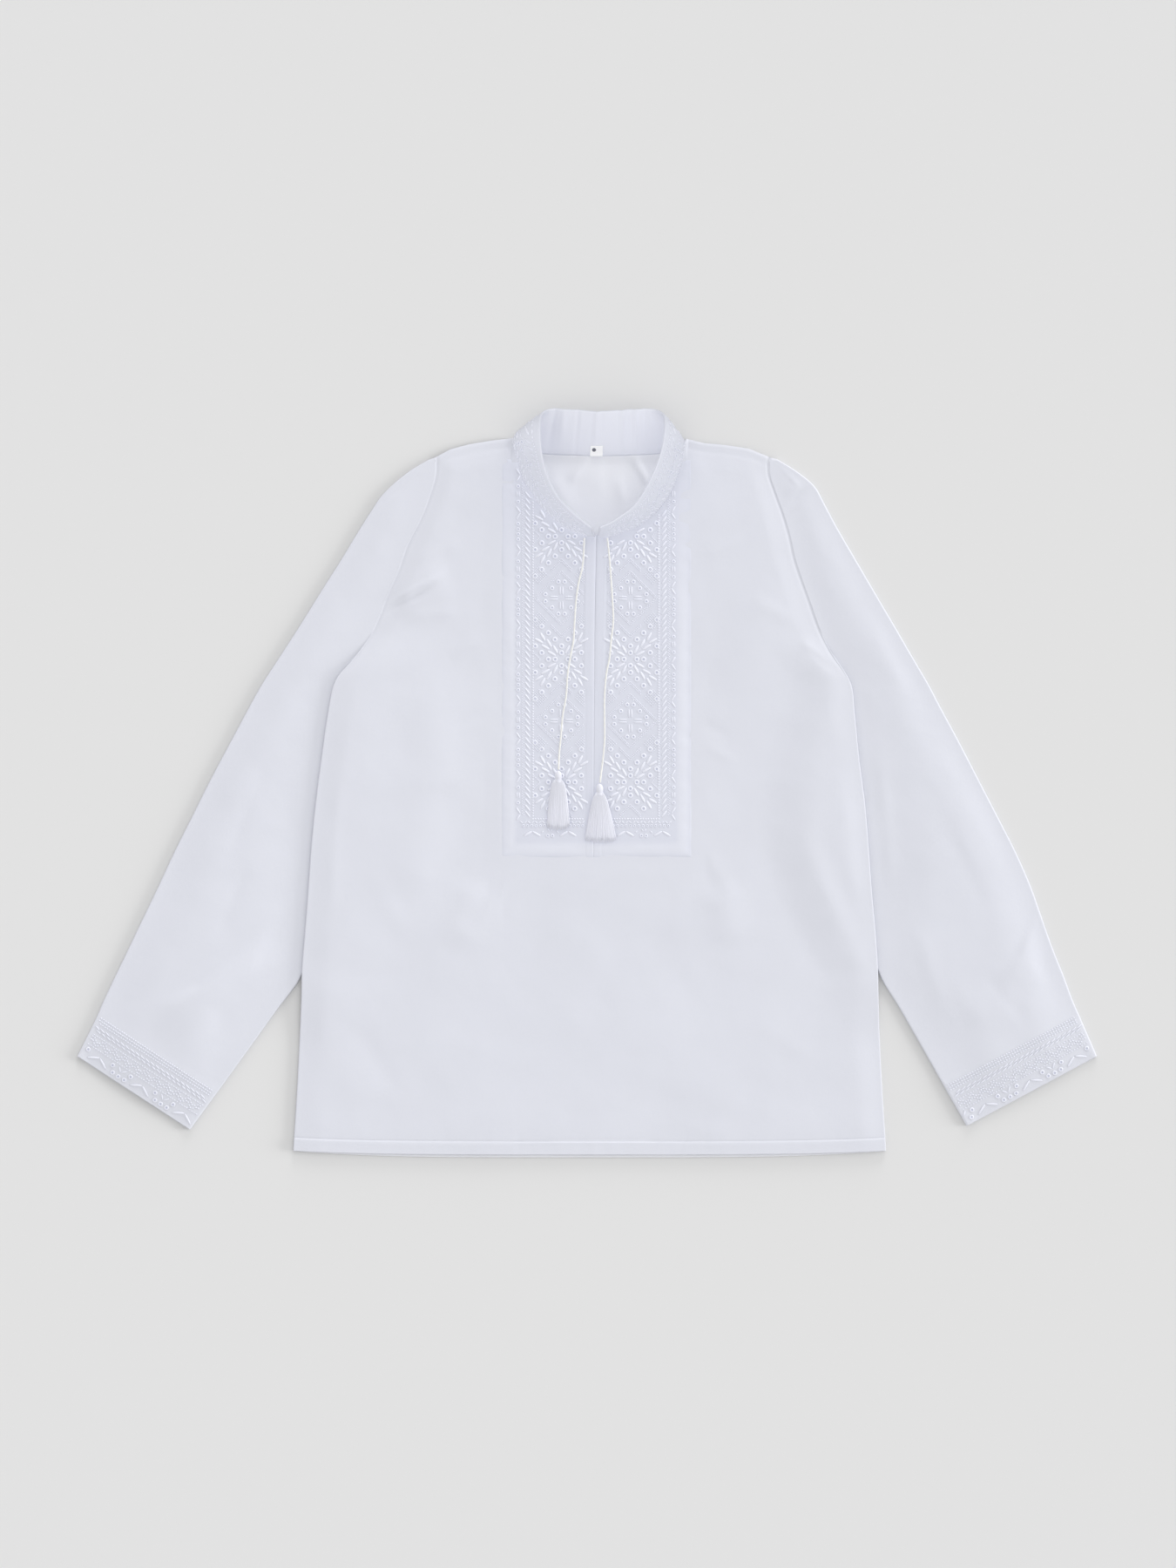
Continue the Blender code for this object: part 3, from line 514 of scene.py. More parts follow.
def makeTassel(name, tassel, node):
    # head, binding and skirt in one mesh, each part's corners numbered on from the last
    centre = [tassel["x"], tassel["y"], tassels["headZ"]]
    points, faces, first = [], [], 0
    for places, quads, caps in (tasselHead(centre), tasselBinding(centre), tasselSkirt(tassel)):
        faces += [first + corners for corners in (quads, *caps)]
        points.append(places)
        first += len(places)
    piece = newPiece(name, np.concatenate(points), faces, tasselYarn)
    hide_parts(node)
    return piece


tasselRight = makeTassel("tasselRight", tassels["right"], "tassel_right")
tasselLeft = makeTassel("tasselLeft", tassels["left"], "tassel_left")
print("tassels are hung on the ties")

# The cut of the shirt, in millimetres: walls, heights and edges as in the solids
cut = {
    "seamGap": 0.3,
    "solidWall": 1.0,  # the cloth's thickness in the solids
    "cloth": 0.5,  # and as it is shown
    "layer": 1.3,  # where the front begins above the back
    "foldRadius": 1.15,
    # how far the upper layers rise, and over what distance from an edge
    "frontEase": 1.2,
    "sleeveEase": 2.4,
    "edgeRounding": 22.0,
    "sleeveRounding": 38.0,
    "besideBody": 52.0,
    # the body over the tucked sleeves
    "bodyLift": 2.9,
    "liftMargin": 6.0,
    "liftRamp": (86.0, 44.0),
    "liftFrom": (125.0, 84.0),
    "liftTo": (-158.0, -215.0),
    # outlines
    "frontSag": 3.0,
    "backSag": 5.4,
    "neckCentre": (14.0, 245.0),
    "neckSpread": 1.05,
    "shoulderHem": (-70.0, 88.0),
    "armpitY": (78.0, 104.0),
    # the back: its level, the range of its ridges and the rim that meets the collar
    "backLevel": 0.75,
    "backRidges": (-0.1, 0.95),
    "neckRim": 1.55,
    # seams: distance from the edge, rise and width
    "seamAllowance": 2.0,
    "armholeGap": -0.35,
    "sideRoll": 0.6,
    "armholeRoll": 0.22,
    "armholeSeam": (1.7, -0.45, 0.9),
    "shoulderSeam": ((5.6, -0.35, 0.9), (3.4, 0.25, 1.4)),
    # hem and cuffs
    "hemDepth": 10.5,
    "hemRise": 0.55,
    "hemGroove": 0.22,
    "hemPucker": 0.10,
    "cuffDepth": 36.5,
    "cuffRise": 0.25,
    "cuffGroove": 0.15,
    "cuffCalm": 40,
    "openEnd": (14, 0.8),  # how far up and how much it closes
    # where the front lies flat under the bib: middle, half width and its fade, lower edge and its fade
    "underBib": (7.5, 92, 14, -76, 16),
    # close rows and columns beside the edges, then even ones
    "edgeColumns": (0, 0.0022, 0.006, 0.012, 0.02),
    "shoulderColumns": 60,
    "hemRows": (0, 0.03, 0.08, 0.17, 0.35, 0.6, 0.82, 0.92, 0.97, 1.0, 1.012, 1.03, 1.06),
    "sleeveColumns": 52,
    "sleeveEdge": (0.018, 0.008, 0),
    "underColumns": 22,
    "foldSteps": 9,
}
# the fixed random seeds of the soft unevenness
seeds = {
    "front": 21, "frontHem": 31, "backHem": 33, "back": 41, "right": 51, "left": 61, "bib": 71, "puckers": 73,
}

# sections of a sleeve from the shoulder's tip to the cuff: foldX foldY seamX seamY tuck
armRight = np.array([
    (-127.5, 260, -122, 262, 0), (-144, 250, -122.5, 246.5, 0), (-163, 233.5, -128, 228, 0),
    (-174, 218, -135, 210.5, 0), (-185, 200.5, -145, 191, 0), (-198, 179, -152, 171, 0),
    (-212, 157, -160, 153, 0), (-225, 136, -167, 135, 0), (-238, 115.5, -175, 118, 0),
    (-250, 97, -188.5, 99.5, 0), (-261, 80, -202.5, 82, 0), (-270, 64, -207, 67, 8),
    (-285, 36, -211.5, 38, 20), (-302, 4, -216, 0, 31), (-317, -26, -219.5, -36, 35),
    (-331, -54, -222.5, -68, 34), (-345, -84, -225, -98, 28), (-358, -111, -227, -127, 16),
    (-369, -134, -229.5, -154, 0), (-380, -157, -250, -182.5, 0), (-389, -176, -274, -216, 0),
    (-395.5, -191, -299, -250.5, 0), (-409.5, -219, -319, -278, 0),
])
armLeft = np.array([
    (152.5, 260.5, 147, 262, 0), (168, 251, 147, 248, 0), (182.5, 239, 152.5, 231.5, 0),
    (191, 224, 158.5, 215, 0), (200, 207, 163.5, 198, 0), (211, 188, 167.5, 180, 0),
    (223.5, 166.5, 173.5, 162, 0), (237, 143.5, 180.5, 142.5, 0), (249, 123, 187.5, 123, 0),
    (260, 104, 196.5, 105, 0), (274, 80, 211.5, 81, 0), (284, 61, 214, 62, 8),
    (298, 35, 217, 33, 20), (314, 4, 220.5, 0, 31), (329.5, -26, 224.5, -34, 35),
    (344, -54.5, 227.5, -66, 34), (356.5, -83, 229.5, -95, 27), (366, -110, 232, -122, 15),
    (374, -132.5, 234, -151, 0), (383, -155, 252, -182, 0), (390, -174, 270, -213.5, 0),
    (397, -190, 287, -243.5, 0), (409.5, -219, 305, -275, 0),
])
armpit = 10

# the body's side edges from the hem up to the armpit: rightX leftX y
sides = np.array([
    (-236, 240, -295), (-235.5, 239.5, -284.5), (-233, 237, -245), (-231, 235, -205),
    (-229.5, 234, -172), (-229, 233.5, -148), (-226.5, 231.5, -118), (-224, 228.5, -85),
    (-221.5, 226, -50), (-218, 223, -15), (-213.5, 218.5, 20), (-208.5, 215, 55),
])
shoulderRight = ((-122, 262), (-110, 268.5), (-95, 272.5), (-77, 275.5), (-60, 277.5))
shoulderLeft = ((147, 262), (130, 269), (110.5, 272), (94, 273.5), (79.5, 277))

# the collar from its right end round to its left end: footX footY topX topY bow level
collarStations = np.array([
    (6.5, 198.5, 4, 204, 1, 4.8), (-3, 199.5, -4, 210, 1, 4.8), (-17.5, 206, -12, 217, 1.5, 4.8),
    (-32, 216.5, -23, 228.5, 1.5, 4.8), (-43, 230.5, -30, 241, 1.5, 4.8),
    (-51.5, 244.5, -34.5, 253, 2, 4.8), (-55.5, 258.5, -37, 265.5, 2.5, 4.8),
    (-57.5, 270.5, -38, 278.5, 8, 4.8), (-55.5, 270, -38, 288.5, 8.5, 3.5),
    (-49.5, 267, -36.5, 295.5, 6, 1), (-42, 265.5, -32, 299, 3, 1),
    (-32, 264.5, -26, 300, 1, 1), (-20.5, 264, -17, 299.5, 0, 1),
    (-7, 263.5, -4, 298.5, 0, 1), (7, 263, 9, 297.5, 0, 1), (26.5, 263.5, 25, 298.5, 0, 1),
    (45, 264, 42.5, 299.5, 0, 1), (58, 265, 53, 299.5, 1.5, 1), (68, 267, 60.5, 296, 3, 1),
    (74, 270.5, 62.5, 290, 4, 3.5), (77.5, 272, 62.5, 281.5, 4, 4.8), (76.5, 262, 60.5, 269, 3, 4.8),
    (74, 250.5, 57, 257, 2, 4.8), (68.5, 237, 52, 245, 2, 4.8), (59.5, 222.5, 46, 233.5, 1.5, 4.8),
    (46, 210.5, 37.5, 221.5, 1.5, 4.8), (31.5, 203, 27, 213.5, 1, 4.8), (18, 199, 18, 208, 1, 4.8),
    (8.5, 198.5, 10, 204.5, 1, 4.8),
])
collarRight, collarBack, collarLeft = collarStations[:8], collarStations[8:20], collarStations[20:]

# broad folds: fromX fromY toX toY halfWidth rise, a trough where rise is below nought
folds = (
    (-160, 140, -108, 172, 16, 1.3), (-118, 104, -128, -40, 24, 2.0), (-112, -10, -150, -96, 20, 1.2),
    (-84, -74, -108, -138, 16, 1.4), (102, -76, 122, -134, 16, 1.2), (140, -40, 206, -170, 20, -0.7),
    (-150, 20, -120, -170, 24, 0.7), (118, 60, 150, 170, 20, 0.9), (-40, -190, 60, -205, 26, 0.6),
    (-250, 60, -330, -90, 20, 0.8), (268, 60, 340, -80, 20, 0.9), (300, -190, 352, -170, 14, 1.0),
)
# narrower creases of the front, the sleeves and the back, in the same columns
frontCreases = (
    (-152, 166, -186, 104, 5, -1.2), (-186, 126, -116, 163, 2.6, -1.4), (-180, 132, -110, 171, 3.2, 1.1),
    (-148, 134, -100, 138, 5, 0.4), (-140, 178, -96, 196, 6, 0.4), (176, 142, 183, 138, 2.5, -0.8),
    (181, 133, 210, 84, 4, -1.0), (174, 110, 206, 86, 3, -0.5), (170, 116, 198, 94, 4, 0.5),
    (128, 150, 170, 128, 6, 0.4), (-66, -66, -104, -122, 6, -0.35), (-60, -74, -94, -126, 5, 0.3),
    (85, -50, 109, -100, 6, -0.28), (94, -52, 120, -96, 5, 0.22), (179, -21, 228, -140, 9, -0.5),
    (166, -30, 214, -136, 8, 0.3), (-200, 30, -206, -120, 6, 0.25), (206, 10, 220, -110, 6, 0.3),
    (92, 180, 128, 200, 5, 0.35), (88, 50, 118, 36, 4, -0.35), (90, 34, 124, 14, 4, 0.3),
    (-74, 60, -112, 44, 4, -0.3), (-76, 22, -116, -8, 5, 0.3), (-180, -60, -140, -130, 8, 0.3),
    (-30, -90, 20, -160, 12, 0.3), (40, -110, 96, -190, 12, -0.3), (-120, -200, -40, -230, 10, 0.3),
    (130, -190, 190, -226, 8, 0.3), (-190, -190, -150, -250, 8, -0.3), (-110, 100, -84, 120, 5, 0.3),
)
sleeveCreases = (
    (-200, 168, -240, 100, 7, 0.4),
    (-250, 40, -292, -70, 7, -0.4), (-300, 0, -340, -90, 8, 0.35), (-246, -90, -282, -170, 7, 0.45),
    (-270, -60, -300, -128, 6, -0.35), (-124, 262, -162, 232, 2.4, 1.1), (-128, 256, -166, 224, 2.2, -1.1),
    (152, 258, 172, 238, 2.5, 0.9), (182, 242, 154, 216, 2.2, -1.5), (176, 246, 152, 226, 2.6, 1.2),
    (222, 140, 262, 60, 8, 0.4), (232, 40, 246, -100, 7, 0.6), (280, -20, 330, -120, 8, -0.35),
    (300, 30, 344, -60, 8, 0.3), (262, -110, 290, -190, 7, 0.4), (316, -150, 356, -196, 6, -0.4),
)
backCreases = (
    (34, 268, 52, 236, 2.2, 1.0), (16, 268, 16, 232, 2.2, -0.5), (4, 266, -16, 240, 3.5, 0.7),
    (24, 250, 30, 222, 4, 0.5), (-8, 246, 8, 214, 5, -0.4),
    (-30, 250, -10, 215, 6, 0.5), (44, 240, 52, 216, 4, 0.4), (-120, 120, -60, -40, 16, 0.6),
    (60, 80, 130, -80, 18, 0.5), (-100, -120, 20, -200, 20, 0.5), (-190, -20, -180, -200, 14, 0.5),
    (150, -160, 196, -240, 14, 0.5), (-40, 100, 20, -60, 18, 0.4),
)
# pressed folds that fan out downwards from a tip: tipX tipY endX endY halfWidth height
wedges = ((-308, -170, -360, -214, 21, 2.9), (352, -140, 334, -184, 17, 1.7))


def alongLine(x, y, fromX, fromY, toX, toY):
    # the line's length, how far along it each place lies, and how far off to its right
    length = math.hypot(toX - fromX, toY - fromY)
    alongX, alongY = (toX - fromX) / length, (toY - fromY) / length
    run = (x - fromX) * alongX + (y - fromY) * alongY
    return length, run, (x - fromX) * alongY - (y - fromY) * alongX


def wedgeRise(x, y):
    # highest at the tip, a slope that falls away and widens along the run, steeper on one side
    rise = np.zeros(np.shape(x))
    for *ends, halfWidth, height in wedges:
        length, run, off = alongLine(x, y, *ends)
        wide = halfWidth * (0.3 + 0.7 * np.clip(run / length, 0, 1)) * np.where(off < 0, 2.6, 1.3)
        crest = np.where(run < 0, smoothstep(1 + run / 80), 1 - smoothstep(run / length))
        rise = rise + height * crest * np.exp(-(np.abs(off / wide) ** 3))
    return rise


def lineRise(x, y, lines):
    # sum of bells across each line; every bell fades in and out over a third of its line's length
    rise = np.zeros(np.shape(x))
    for *ends, halfWidth, height in lines:
        length, run, off = alongLine(x, y, *ends)
        fade = smoothstep(run / (length / 3)) * smoothstep((length - run) / (length / 3))
        rise = rise + height * fade * bell(off, halfWidth)
    return rise


def softNoise(x, y, size, seed):
    # smooth random hills about one size across, between -1 and 1; what is added to x and y picks the hills
    draw = np.random.default_rng(seed).uniform(-1, 1, (64, 64))
    u, v = np.asarray(x) / size, np.asarray(y) / size
    i, j = np.floor(u).astype(int), np.floor(v).astype(int)
    s, t = smoothstep(u - i), smoothstep(v - j)
    i, j = i % 63, j % 63
    low = (1 - s) * draw[i, j] + s * draw[i + 1, j]
    high = (1 - s) * draw[i, j + 1] + s * draw[i + 1, j + 1]
    return (1 - t) * low + t * high


def rumple(x, y, seed):
    # what cloth does when it is smoothed flat by hand: hills at three sizes, drawn out a little along y
    return (
        0.46 * softNoise(x + 500, 0.7 * y + 500, 46, seed)
        + 0.20 * softNoise(0.8 * x + 0.5 * y + 500, 0.8 * y - 0.4 * x + 500, 21, seed + 1)
        + 0.06 * softNoise(x + 500, y + 500, 9, seed + 2)
    )


rightEdge = np.concatenate([sides[:, [0, 2]], armRight[armpit::-1, 2:4]])
leftEdge = np.concatenate([sides[:, [1, 2]], armLeft[armpit::-1, 2:4]])
fineRows = np.linspace(0, len(rightEdge) - 1, 400)
fineRight, fineLeft = smoothAt(rightEdge, fineRows), smoothAt(leftEdge, fineRows)


def tuckedLift(x, y):
    # how far the body is raised by the sleeves tucked beneath it, over a ramp towards its middle
    (begin, full), (still, gone) = cut["liftFrom"], cut["liftTo"]
    along = smoothstep((begin - y) / (begin - full)) * smoothstep((y - gone) / (still - gone))
    rampRight, rampLeft = cut["liftRamp"]
    lift = np.zeros(np.shape(x))
    for edge, arm, inward, ramp in ((fineRight, armRight, 1, rampRight), (fineLeft, armLeft, -1, rampLeft)):
        depth = inward * (x - np.interp(y, edge[:, 1], edge[:, 0]))
        tuck = np.interp(y, arm[::-1, 3], arm[::-1, 4])
        across = 1 - smoothstep((depth - tuck - cut["liftMargin"]) / ramp)
        lift = np.maximum(lift, cut["bodyLift"] * along * across)
    return lift


def betweenEdges(bottom, top, right, left):
    # a grid between four edges, each point drawn by all four (Coons)
    u = ((bottom[:, 0] - bottom[0, 0]) / (bottom[-1, 0] - bottom[0, 0]))[None, :, None]
    height = (right[:, 1] + left[:, 1]) / 2
    v = ((height - height[0]) / (height[-1] - height[0]))[:, None, None]
    between = (1 - v) * bottom[None] + v * top[None] + (1 - u) * right[:, None] + u * left[:, None]
    corners = (1 - u) * ((1 - v) * right[0] + v * right[-1]) + u * ((1 - v) * left[0] + v * left[-1])
    return between - corners


def towardsNeck(points, distance):
    # the points moved towards the middle of the neck, or away from it
    inward = np.array(cut["neckCentre"]) - points
    return points + distance * inward / np.linalg.norm(inward, axis=1, keepdims=True)


def shoulderColumns(shoulder, cornerX, neckHemX, share):
    # hem x, shoulder x and shoulder y of the panel's columns between its side and the neck
    x, y = np.array(shoulder).T
    topX = x[0] + share * (x[-1] - x[0])
    order = np.argsort(x)
    return np.column_stack([cornerX + share * (neckHemX - cornerX), topX, np.interp(topX, x[order], y[order])])


def panelPlan(neck, sag, sideCount, rowStep):
    # the panel seen from above: hem at the bottom, shoulders and neck at the top, armholes and sides beside
    share = np.concatenate([cut["edgeColumns"], np.linspace(0.03, 1, sideCount)])
    columns = np.concatenate([
        shoulderColumns(shoulderRight, rightEdge[0, 0], cut["shoulderHem"][0], share),
        np.column_stack([neck[:, 0] * cut["neckSpread"], neck]),
        shoulderColumns(shoulderLeft, leftEdge[0, 0], cut["shoulderHem"][1], share)[::-1],
    ])
    across = (columns[:, 0] - columns[0, 0]) / (columns[-1, 0] - columns[0, 0])
    hemY = sides[0, 2] - sag * (1 - (2 * across - 1) ** 4)
    rows = np.concatenate([cut["hemRows"], evenRows(rightEdge, rowStep, 1.12)])
    bottom, top = np.column_stack([columns[:, 0], hemY]), columns[:, 1:]
    return betweenEdges(bottom, top, smoothAt(rightEdge, rows), smoothAt(leftEdge, rows)), bottom, top


def awayFrom(plan, edge):
    # each point's distance from the edge's point in its own row or column
    return np.linalg.norm(plan - edge, axis=2)


def awayFromSides(plan):
    # each point's distance from the nearer end of its row
    return np.minimum(awayFrom(plan, plan[:, :1]), awayFrom(plan, plan[:, -1:]))


def raised(plan, height):
    # points in space from a plan and a height
    return np.concatenate([plan, height[..., None]], axis=2)


def hemRise(toHem, x, seed):
    # the turned hem lies a little prouder, ends in a stitched groove and puckers slightly along it
    pastHem = toHem - cut["hemDepth"]
    band = cut["hemRise"] * (1 - smoothstep((pastHem + 0.9) / 0.9))
    pucker = cut["hemPucker"] * softNoise(x + 700, toHem * 0.3 + 300, 5, seed) * bell(toHem - 9, 9)
    return band - cut["hemGroove"] * bell(pastHem - 0.1, 0.5) + pucker


def frontHeight(plan, bottom, top):
    # the layer's level, the ease and folds away from the edges, the hem, and the seams pressed in
    x, y = plan[..., 0], plan[..., 1]
    toSide, toHem, toTop = awayFromSides(plan), awayFrom(plan, bottom[None]), awayFrom(plan, top[None])
    fromEnd = np.minimum(np.arange(plan.shape[1]), np.arange(plan.shape[1])[::-1])
    onShoulder = (fromEnd < cut["shoulderColumns"])[None]
    rounding = cut["edgeRounding"]
    edge = smoothstep(np.minimum(toSide, np.where(onShoulder, toTop, rounding)) / rounding)
    edge = edge * (0.5 + 0.5 * smoothstep(toHem / rounding))
    # under the bib the cloth lies flat
    middle, halfWidth, fade, low, lowFade = cut["underBib"]
    loose = 1 - smoothstep((halfWidth - np.abs(x - middle)) / fade) * smoothstep((y - low) / lowFade)
    soft = (lineRise(x, y, folds) + lineRise(x, y, frontCreases) + rumple(x, y, seeds["front"])) * loose
    z = cut["layer"] + cut["solidWall"] + tuckedLift(x, y) + edge * (cut["frontEase"] + soft)
    z = z + hemRise(toHem, x, seeds["frontHem"])
    # the side and shoulder seams turn down to the back in a small roll, the armholes hardly at all
    low, high = cut["armpitY"]
    onArmhole = smoothstep((y - low) / (high - low))
    roll = cut["sideRoll"] + (cut["armholeRoll"] - cut["sideRoll"]) * onArmhole
    for distance in (toSide, np.where(onShoulder, toTop, roll)):
        inside = np.clip(distance, 0, roll)
        z = z - (roll - np.sqrt(roll**2 - (roll - inside) ** 2)) * (distance < roll)
    # armhole seam: a narrow groove beside the edge
    place, rise, width = cut["armholeSeam"]
    z = z + rise * bell(toSide - place, width) * onArmhole
    # shoulder seam: a groove and a low ridge beside it, a little forward of the outline
    for place, rise, width in cut["shoulderSeam"]:
        z = z + rise * bell(toTop - place, width) * onShoulder
    return z


def addFront():
    # its neck edge follows the front of the collar's foot
    stations = np.concatenate([collarRight[::-1, :2], collarLeft[::-1, :2]])
    neck = towardsNeck(smoothAt(stations, np.linspace(0, len(stations) - 1, 65)), 1.0)
    plan, bottom, top = panelPlan(neck, cut["frontSag"], 56, 2.9)
    grid = raised(plan, frontHeight(plan, bottom, top))
    return newSheet("frontCloth", grid, linen, cut["cloth"], "front")


def addBack():
    # low under the front and the sleeves, with ridges that stay below the front and a rim that meets the collar
    stations = collarBack[1:-1, :2]
    neck = towardsNeck(smoothAt(stations, np.linspace(0, len(stations) - 1, 75)), -1.0)
    plan, bottom, top = panelPlan(neck, cut["backSag"], 40, 3.0)
    x, y = plan[..., 0], plan[..., 1]
    toHem = awayFrom(plan, bottom[None])
    free = smoothstep(awayFromSides(plan) / 24) * smoothstep(toHem / 20)
    ridges = np.clip(lineRise(x, y, backCreases) + 0.3 * rumple(x, y, seeds["back"]), *cut["backRidges"])
    toNeck = np.where((x > -50) & (x < 70), awayFrom(plan, top[None]), 99)
    z = cut["backLevel"] + tuckedLift(x, y) + free * ridges
    z = z + 0.5 * hemRise(toHem, x, seeds["backHem"]) + cut["neckRim"] * bell(toNeck, 4)
    # its finish is painted lighter, a painted light in the neck
    return newSheet("backCloth", raised(plan, z), backLinenPaintedLight, cut["cloth"], "back")


def sleeveFrame(arm, side, rows):
    # for each section: its fold point, the unit line across to the seam, the reach, and where the body hides it
    section = smoothAt(arm, rows)
    fold, seam, tuck = section[:, :2], section[:, 2:4], np.clip(section[:, 4], 0, None)
    end = seam - np.column_stack([side * tuck, 0 * tuck])
    width = np.linalg.norm(end - fold, axis=1)
    across = (end - fold) / width[:, None]
    closed = smoothstep((rows - armpit - 0.25) / 0.75)
    reach = width - (closed * cut["foldRadius"] + (1 - closed) * cut["armholeGap"])
    visible = reach - np.maximum(tuck, cut["seamAllowance"])
    return fold, across, width, reach, visible, closed


def sleeveHeight(place, run, visible, toCuff, seed):
    # the upper layer is low along the fold and the seam, eased between them, and closes towards the open end
    x, y = place[..., 0], place[..., 1]
    soft = lineRise(x, y, folds) + lineRise(x, y, sleeveCreases) + rumple(x, y, seed) + wedgeRise(x, y)
    fromFold, fromSeam = run - cut["foldRadius"], visible - run
    ease = cut["sleeveEase"] * smoothstep(fromFold / cut["sleeveRounding"])
    ease = ease * smoothstep(fromSeam / cut["besideBody"])
    ease = ease + soft * smoothstep(fromFold / cut["edgeRounding"]) * smoothstep(fromSeam / cut["edgeRounding"])
    ease = ease * (0.25 + 0.75 * smoothstep(toCuff / cut["cuffCalm"]))
    over, drop = cut["openEnd"]
    shut = smoothstep(fromFold / 8) * smoothstep(fromSeam / 8)
    return 2 * cut["foldRadius"] + ease - drop * (1 - smoothstep(toCuff / over)) * shut


def sleeveRows(arm):
    # even steps down the sleeve, with three close rows at the cuff's edge
    rows = evenRows((arm[:, :2] + arm[:, 2:4]) / 2, 2.7)
    return np.concatenate([rows[:-1], [rows[-1] - 0.04, rows[-1] - 0.015, rows[-1]]])


def addSleeve(name, arm, side, node, seed):
    # a flattened tube: over the upper layer to the fold along the outer edge and back along the lower one
    rows = sleeveRows(arm)
    fold, across, width, reach, visible, closed = sleeveFrame(arm, side, rows)
    radius, visible = cut["foldRadius"], visible[:, None]

    def onSection(run):
        return fold[:, None] + run[..., None] * across[:, None]

    section = smoothAt(arm, rows)
    travel = travelled((section[:, :2] + section[:, 2:4]) / 2)
    toCuff = (travel[-1] - travel)[:, None]
    share = np.concatenate([np.linspace(1, 0.03, cut["sleeveColumns"]), cut["sleeveEdge"]])[None]
    tucked = visible + (reach[:, None] - visible) * np.array([[1, 0.66, 0.33]])
    run = np.concatenate([tucked, radius + share * (visible - radius)], axis=1)
    z = sleeveHeight(onSection(run), run, visible, toCuff, seed)
    band = cut["cuffRise"] * (1 - smoothstep((toCuff - cut["cuffDepth"]) / 1.2))
    band = band - cut["cuffGroove"] * bell(toCuff - cut["cuffDepth"] - 0.4, 0.8)
    upper = raised(onSection(run), z + band * smoothstep(run / 5))
    # the fold is half round
    turn = np.linspace(0, math.pi, cut["foldSteps"])[None, 1:-1]
    bend = radius * (1 - np.sin(turn)) * np.ones((len(rows), 1))
    around = raised(onSection(bend), np.broadcast_to(radius * (1 + np.cos(turn)), bend.shape))
    # the lower layer lies flat but for what is left of the creases
    run = radius + np.linspace(0, 1, cut["underColumns"])[None] * (reach[:, None] - radius)
    place = onSection(run)
    under = np.clip(0.4 * lineRise(place[..., 0], place[..., 1], sleeveCreases), 0, 0.4)
    lower = raised(place, under * smoothstep(run / 20) * smoothstep((visible - run) / 20))
    # past the armpit the seam edge closes in a second fold, which opens out to nothing along the armhole
    shut = width[:, None] - radius * (1 - np.sin(turn))
    closing = raised(onSection(shut), np.broadcast_to(radius * (1 - np.cos(turn)), shut.shape))
    first = int(np.argmax(closed >= 1))
    strip = np.concatenate([lower[first:, -1:], closing[first:], upper[first:, :1]], axis=1)
    ring = np.concatenate([upper, around, lower], axis=1)
    faces = [gridFaces(*ring.shape[:2]), ring[..., 0].size + gridFaces(*strip.shape[:2])]
    if side > 0:
        faces = [corners[:, ::-1] for corners in faces]
    piece = newPiece(name, np.concatenate([ring.reshape(-1, 3), strip.reshape(-1, 3)]), faces, linen)
    weld = piece.modifiers.new("seam", "WELD")
    weld.merge_threshold = 0.00001
    thicken(piece, cut["cloth"])
    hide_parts(node)
    return piece, upper


frontCloth = addFront()
backCloth = addBack()
sleeveRightCloth, sleeveRightGrid = addSleeve("sleeveRightCloth", armRight, -1, "sleeve_right", seeds["right"])
sleeveLeftCloth, sleeveLeftGrid = addSleeve("sleeveLeftCloth", armLeft, 1, "sleeve_left", seeds["left"])
print("body and sleeves are sewn")

# The bib, in two halves beside the slit
bib = {
    "outer": (-69.5, 84.5),
    "bottom": -60.0,
    "shoulderY": 262.0,
    "slitHalfWidth": 0.13,
    "seamHalfWidth": 0.01,
    "slitEndY": 80.0,
    "lift": 0.5,
    "flatter": (130, 90, 0.8),  # from this y up, over this length, by this share
    "sink": 0.35,
    "uneven": 0.12,
    "pucker": 0.16,
    "placketRise": 0.14,
    "placketGroove": 0.07,
    "roundOver": 9.0,
    "shoulderLine": 276.5,
    "placket": 8.2,
    "placketBelow": 5.6,
    "wall": 0.6,
    "edgeColumns": (0, 0.004, 0.01, 0.018),
    "columns": 86,
    "edgeRows": (0, 0.0012, 0.004, 0.008, 0.014, 0.02),
    "rows": 118,
}
slitLine = np.array([(5.0, bib["bottom"]), (5.5, bib["slitEndY"]), (6.3, 140.0), (7.5, 206.0)])


def slitX(y):
    # the slit, and the seam that goes on below it
    return np.interp(y, slitLine[:, 1], slitLine[:, 0])


def bibEdge(x, y):
    # how far a place lies inside the bib's outer and lower edges and its ends at the shoulders
    toOuter = np.where(x < slitX(y), x - bib["outer"][0], bib["outer"][1] - x)
    return np.minimum(np.minimum(toOuter, y - bib["bottom"]), np.where(toOuter < 16, bib["shoulderY"] - y, 99))


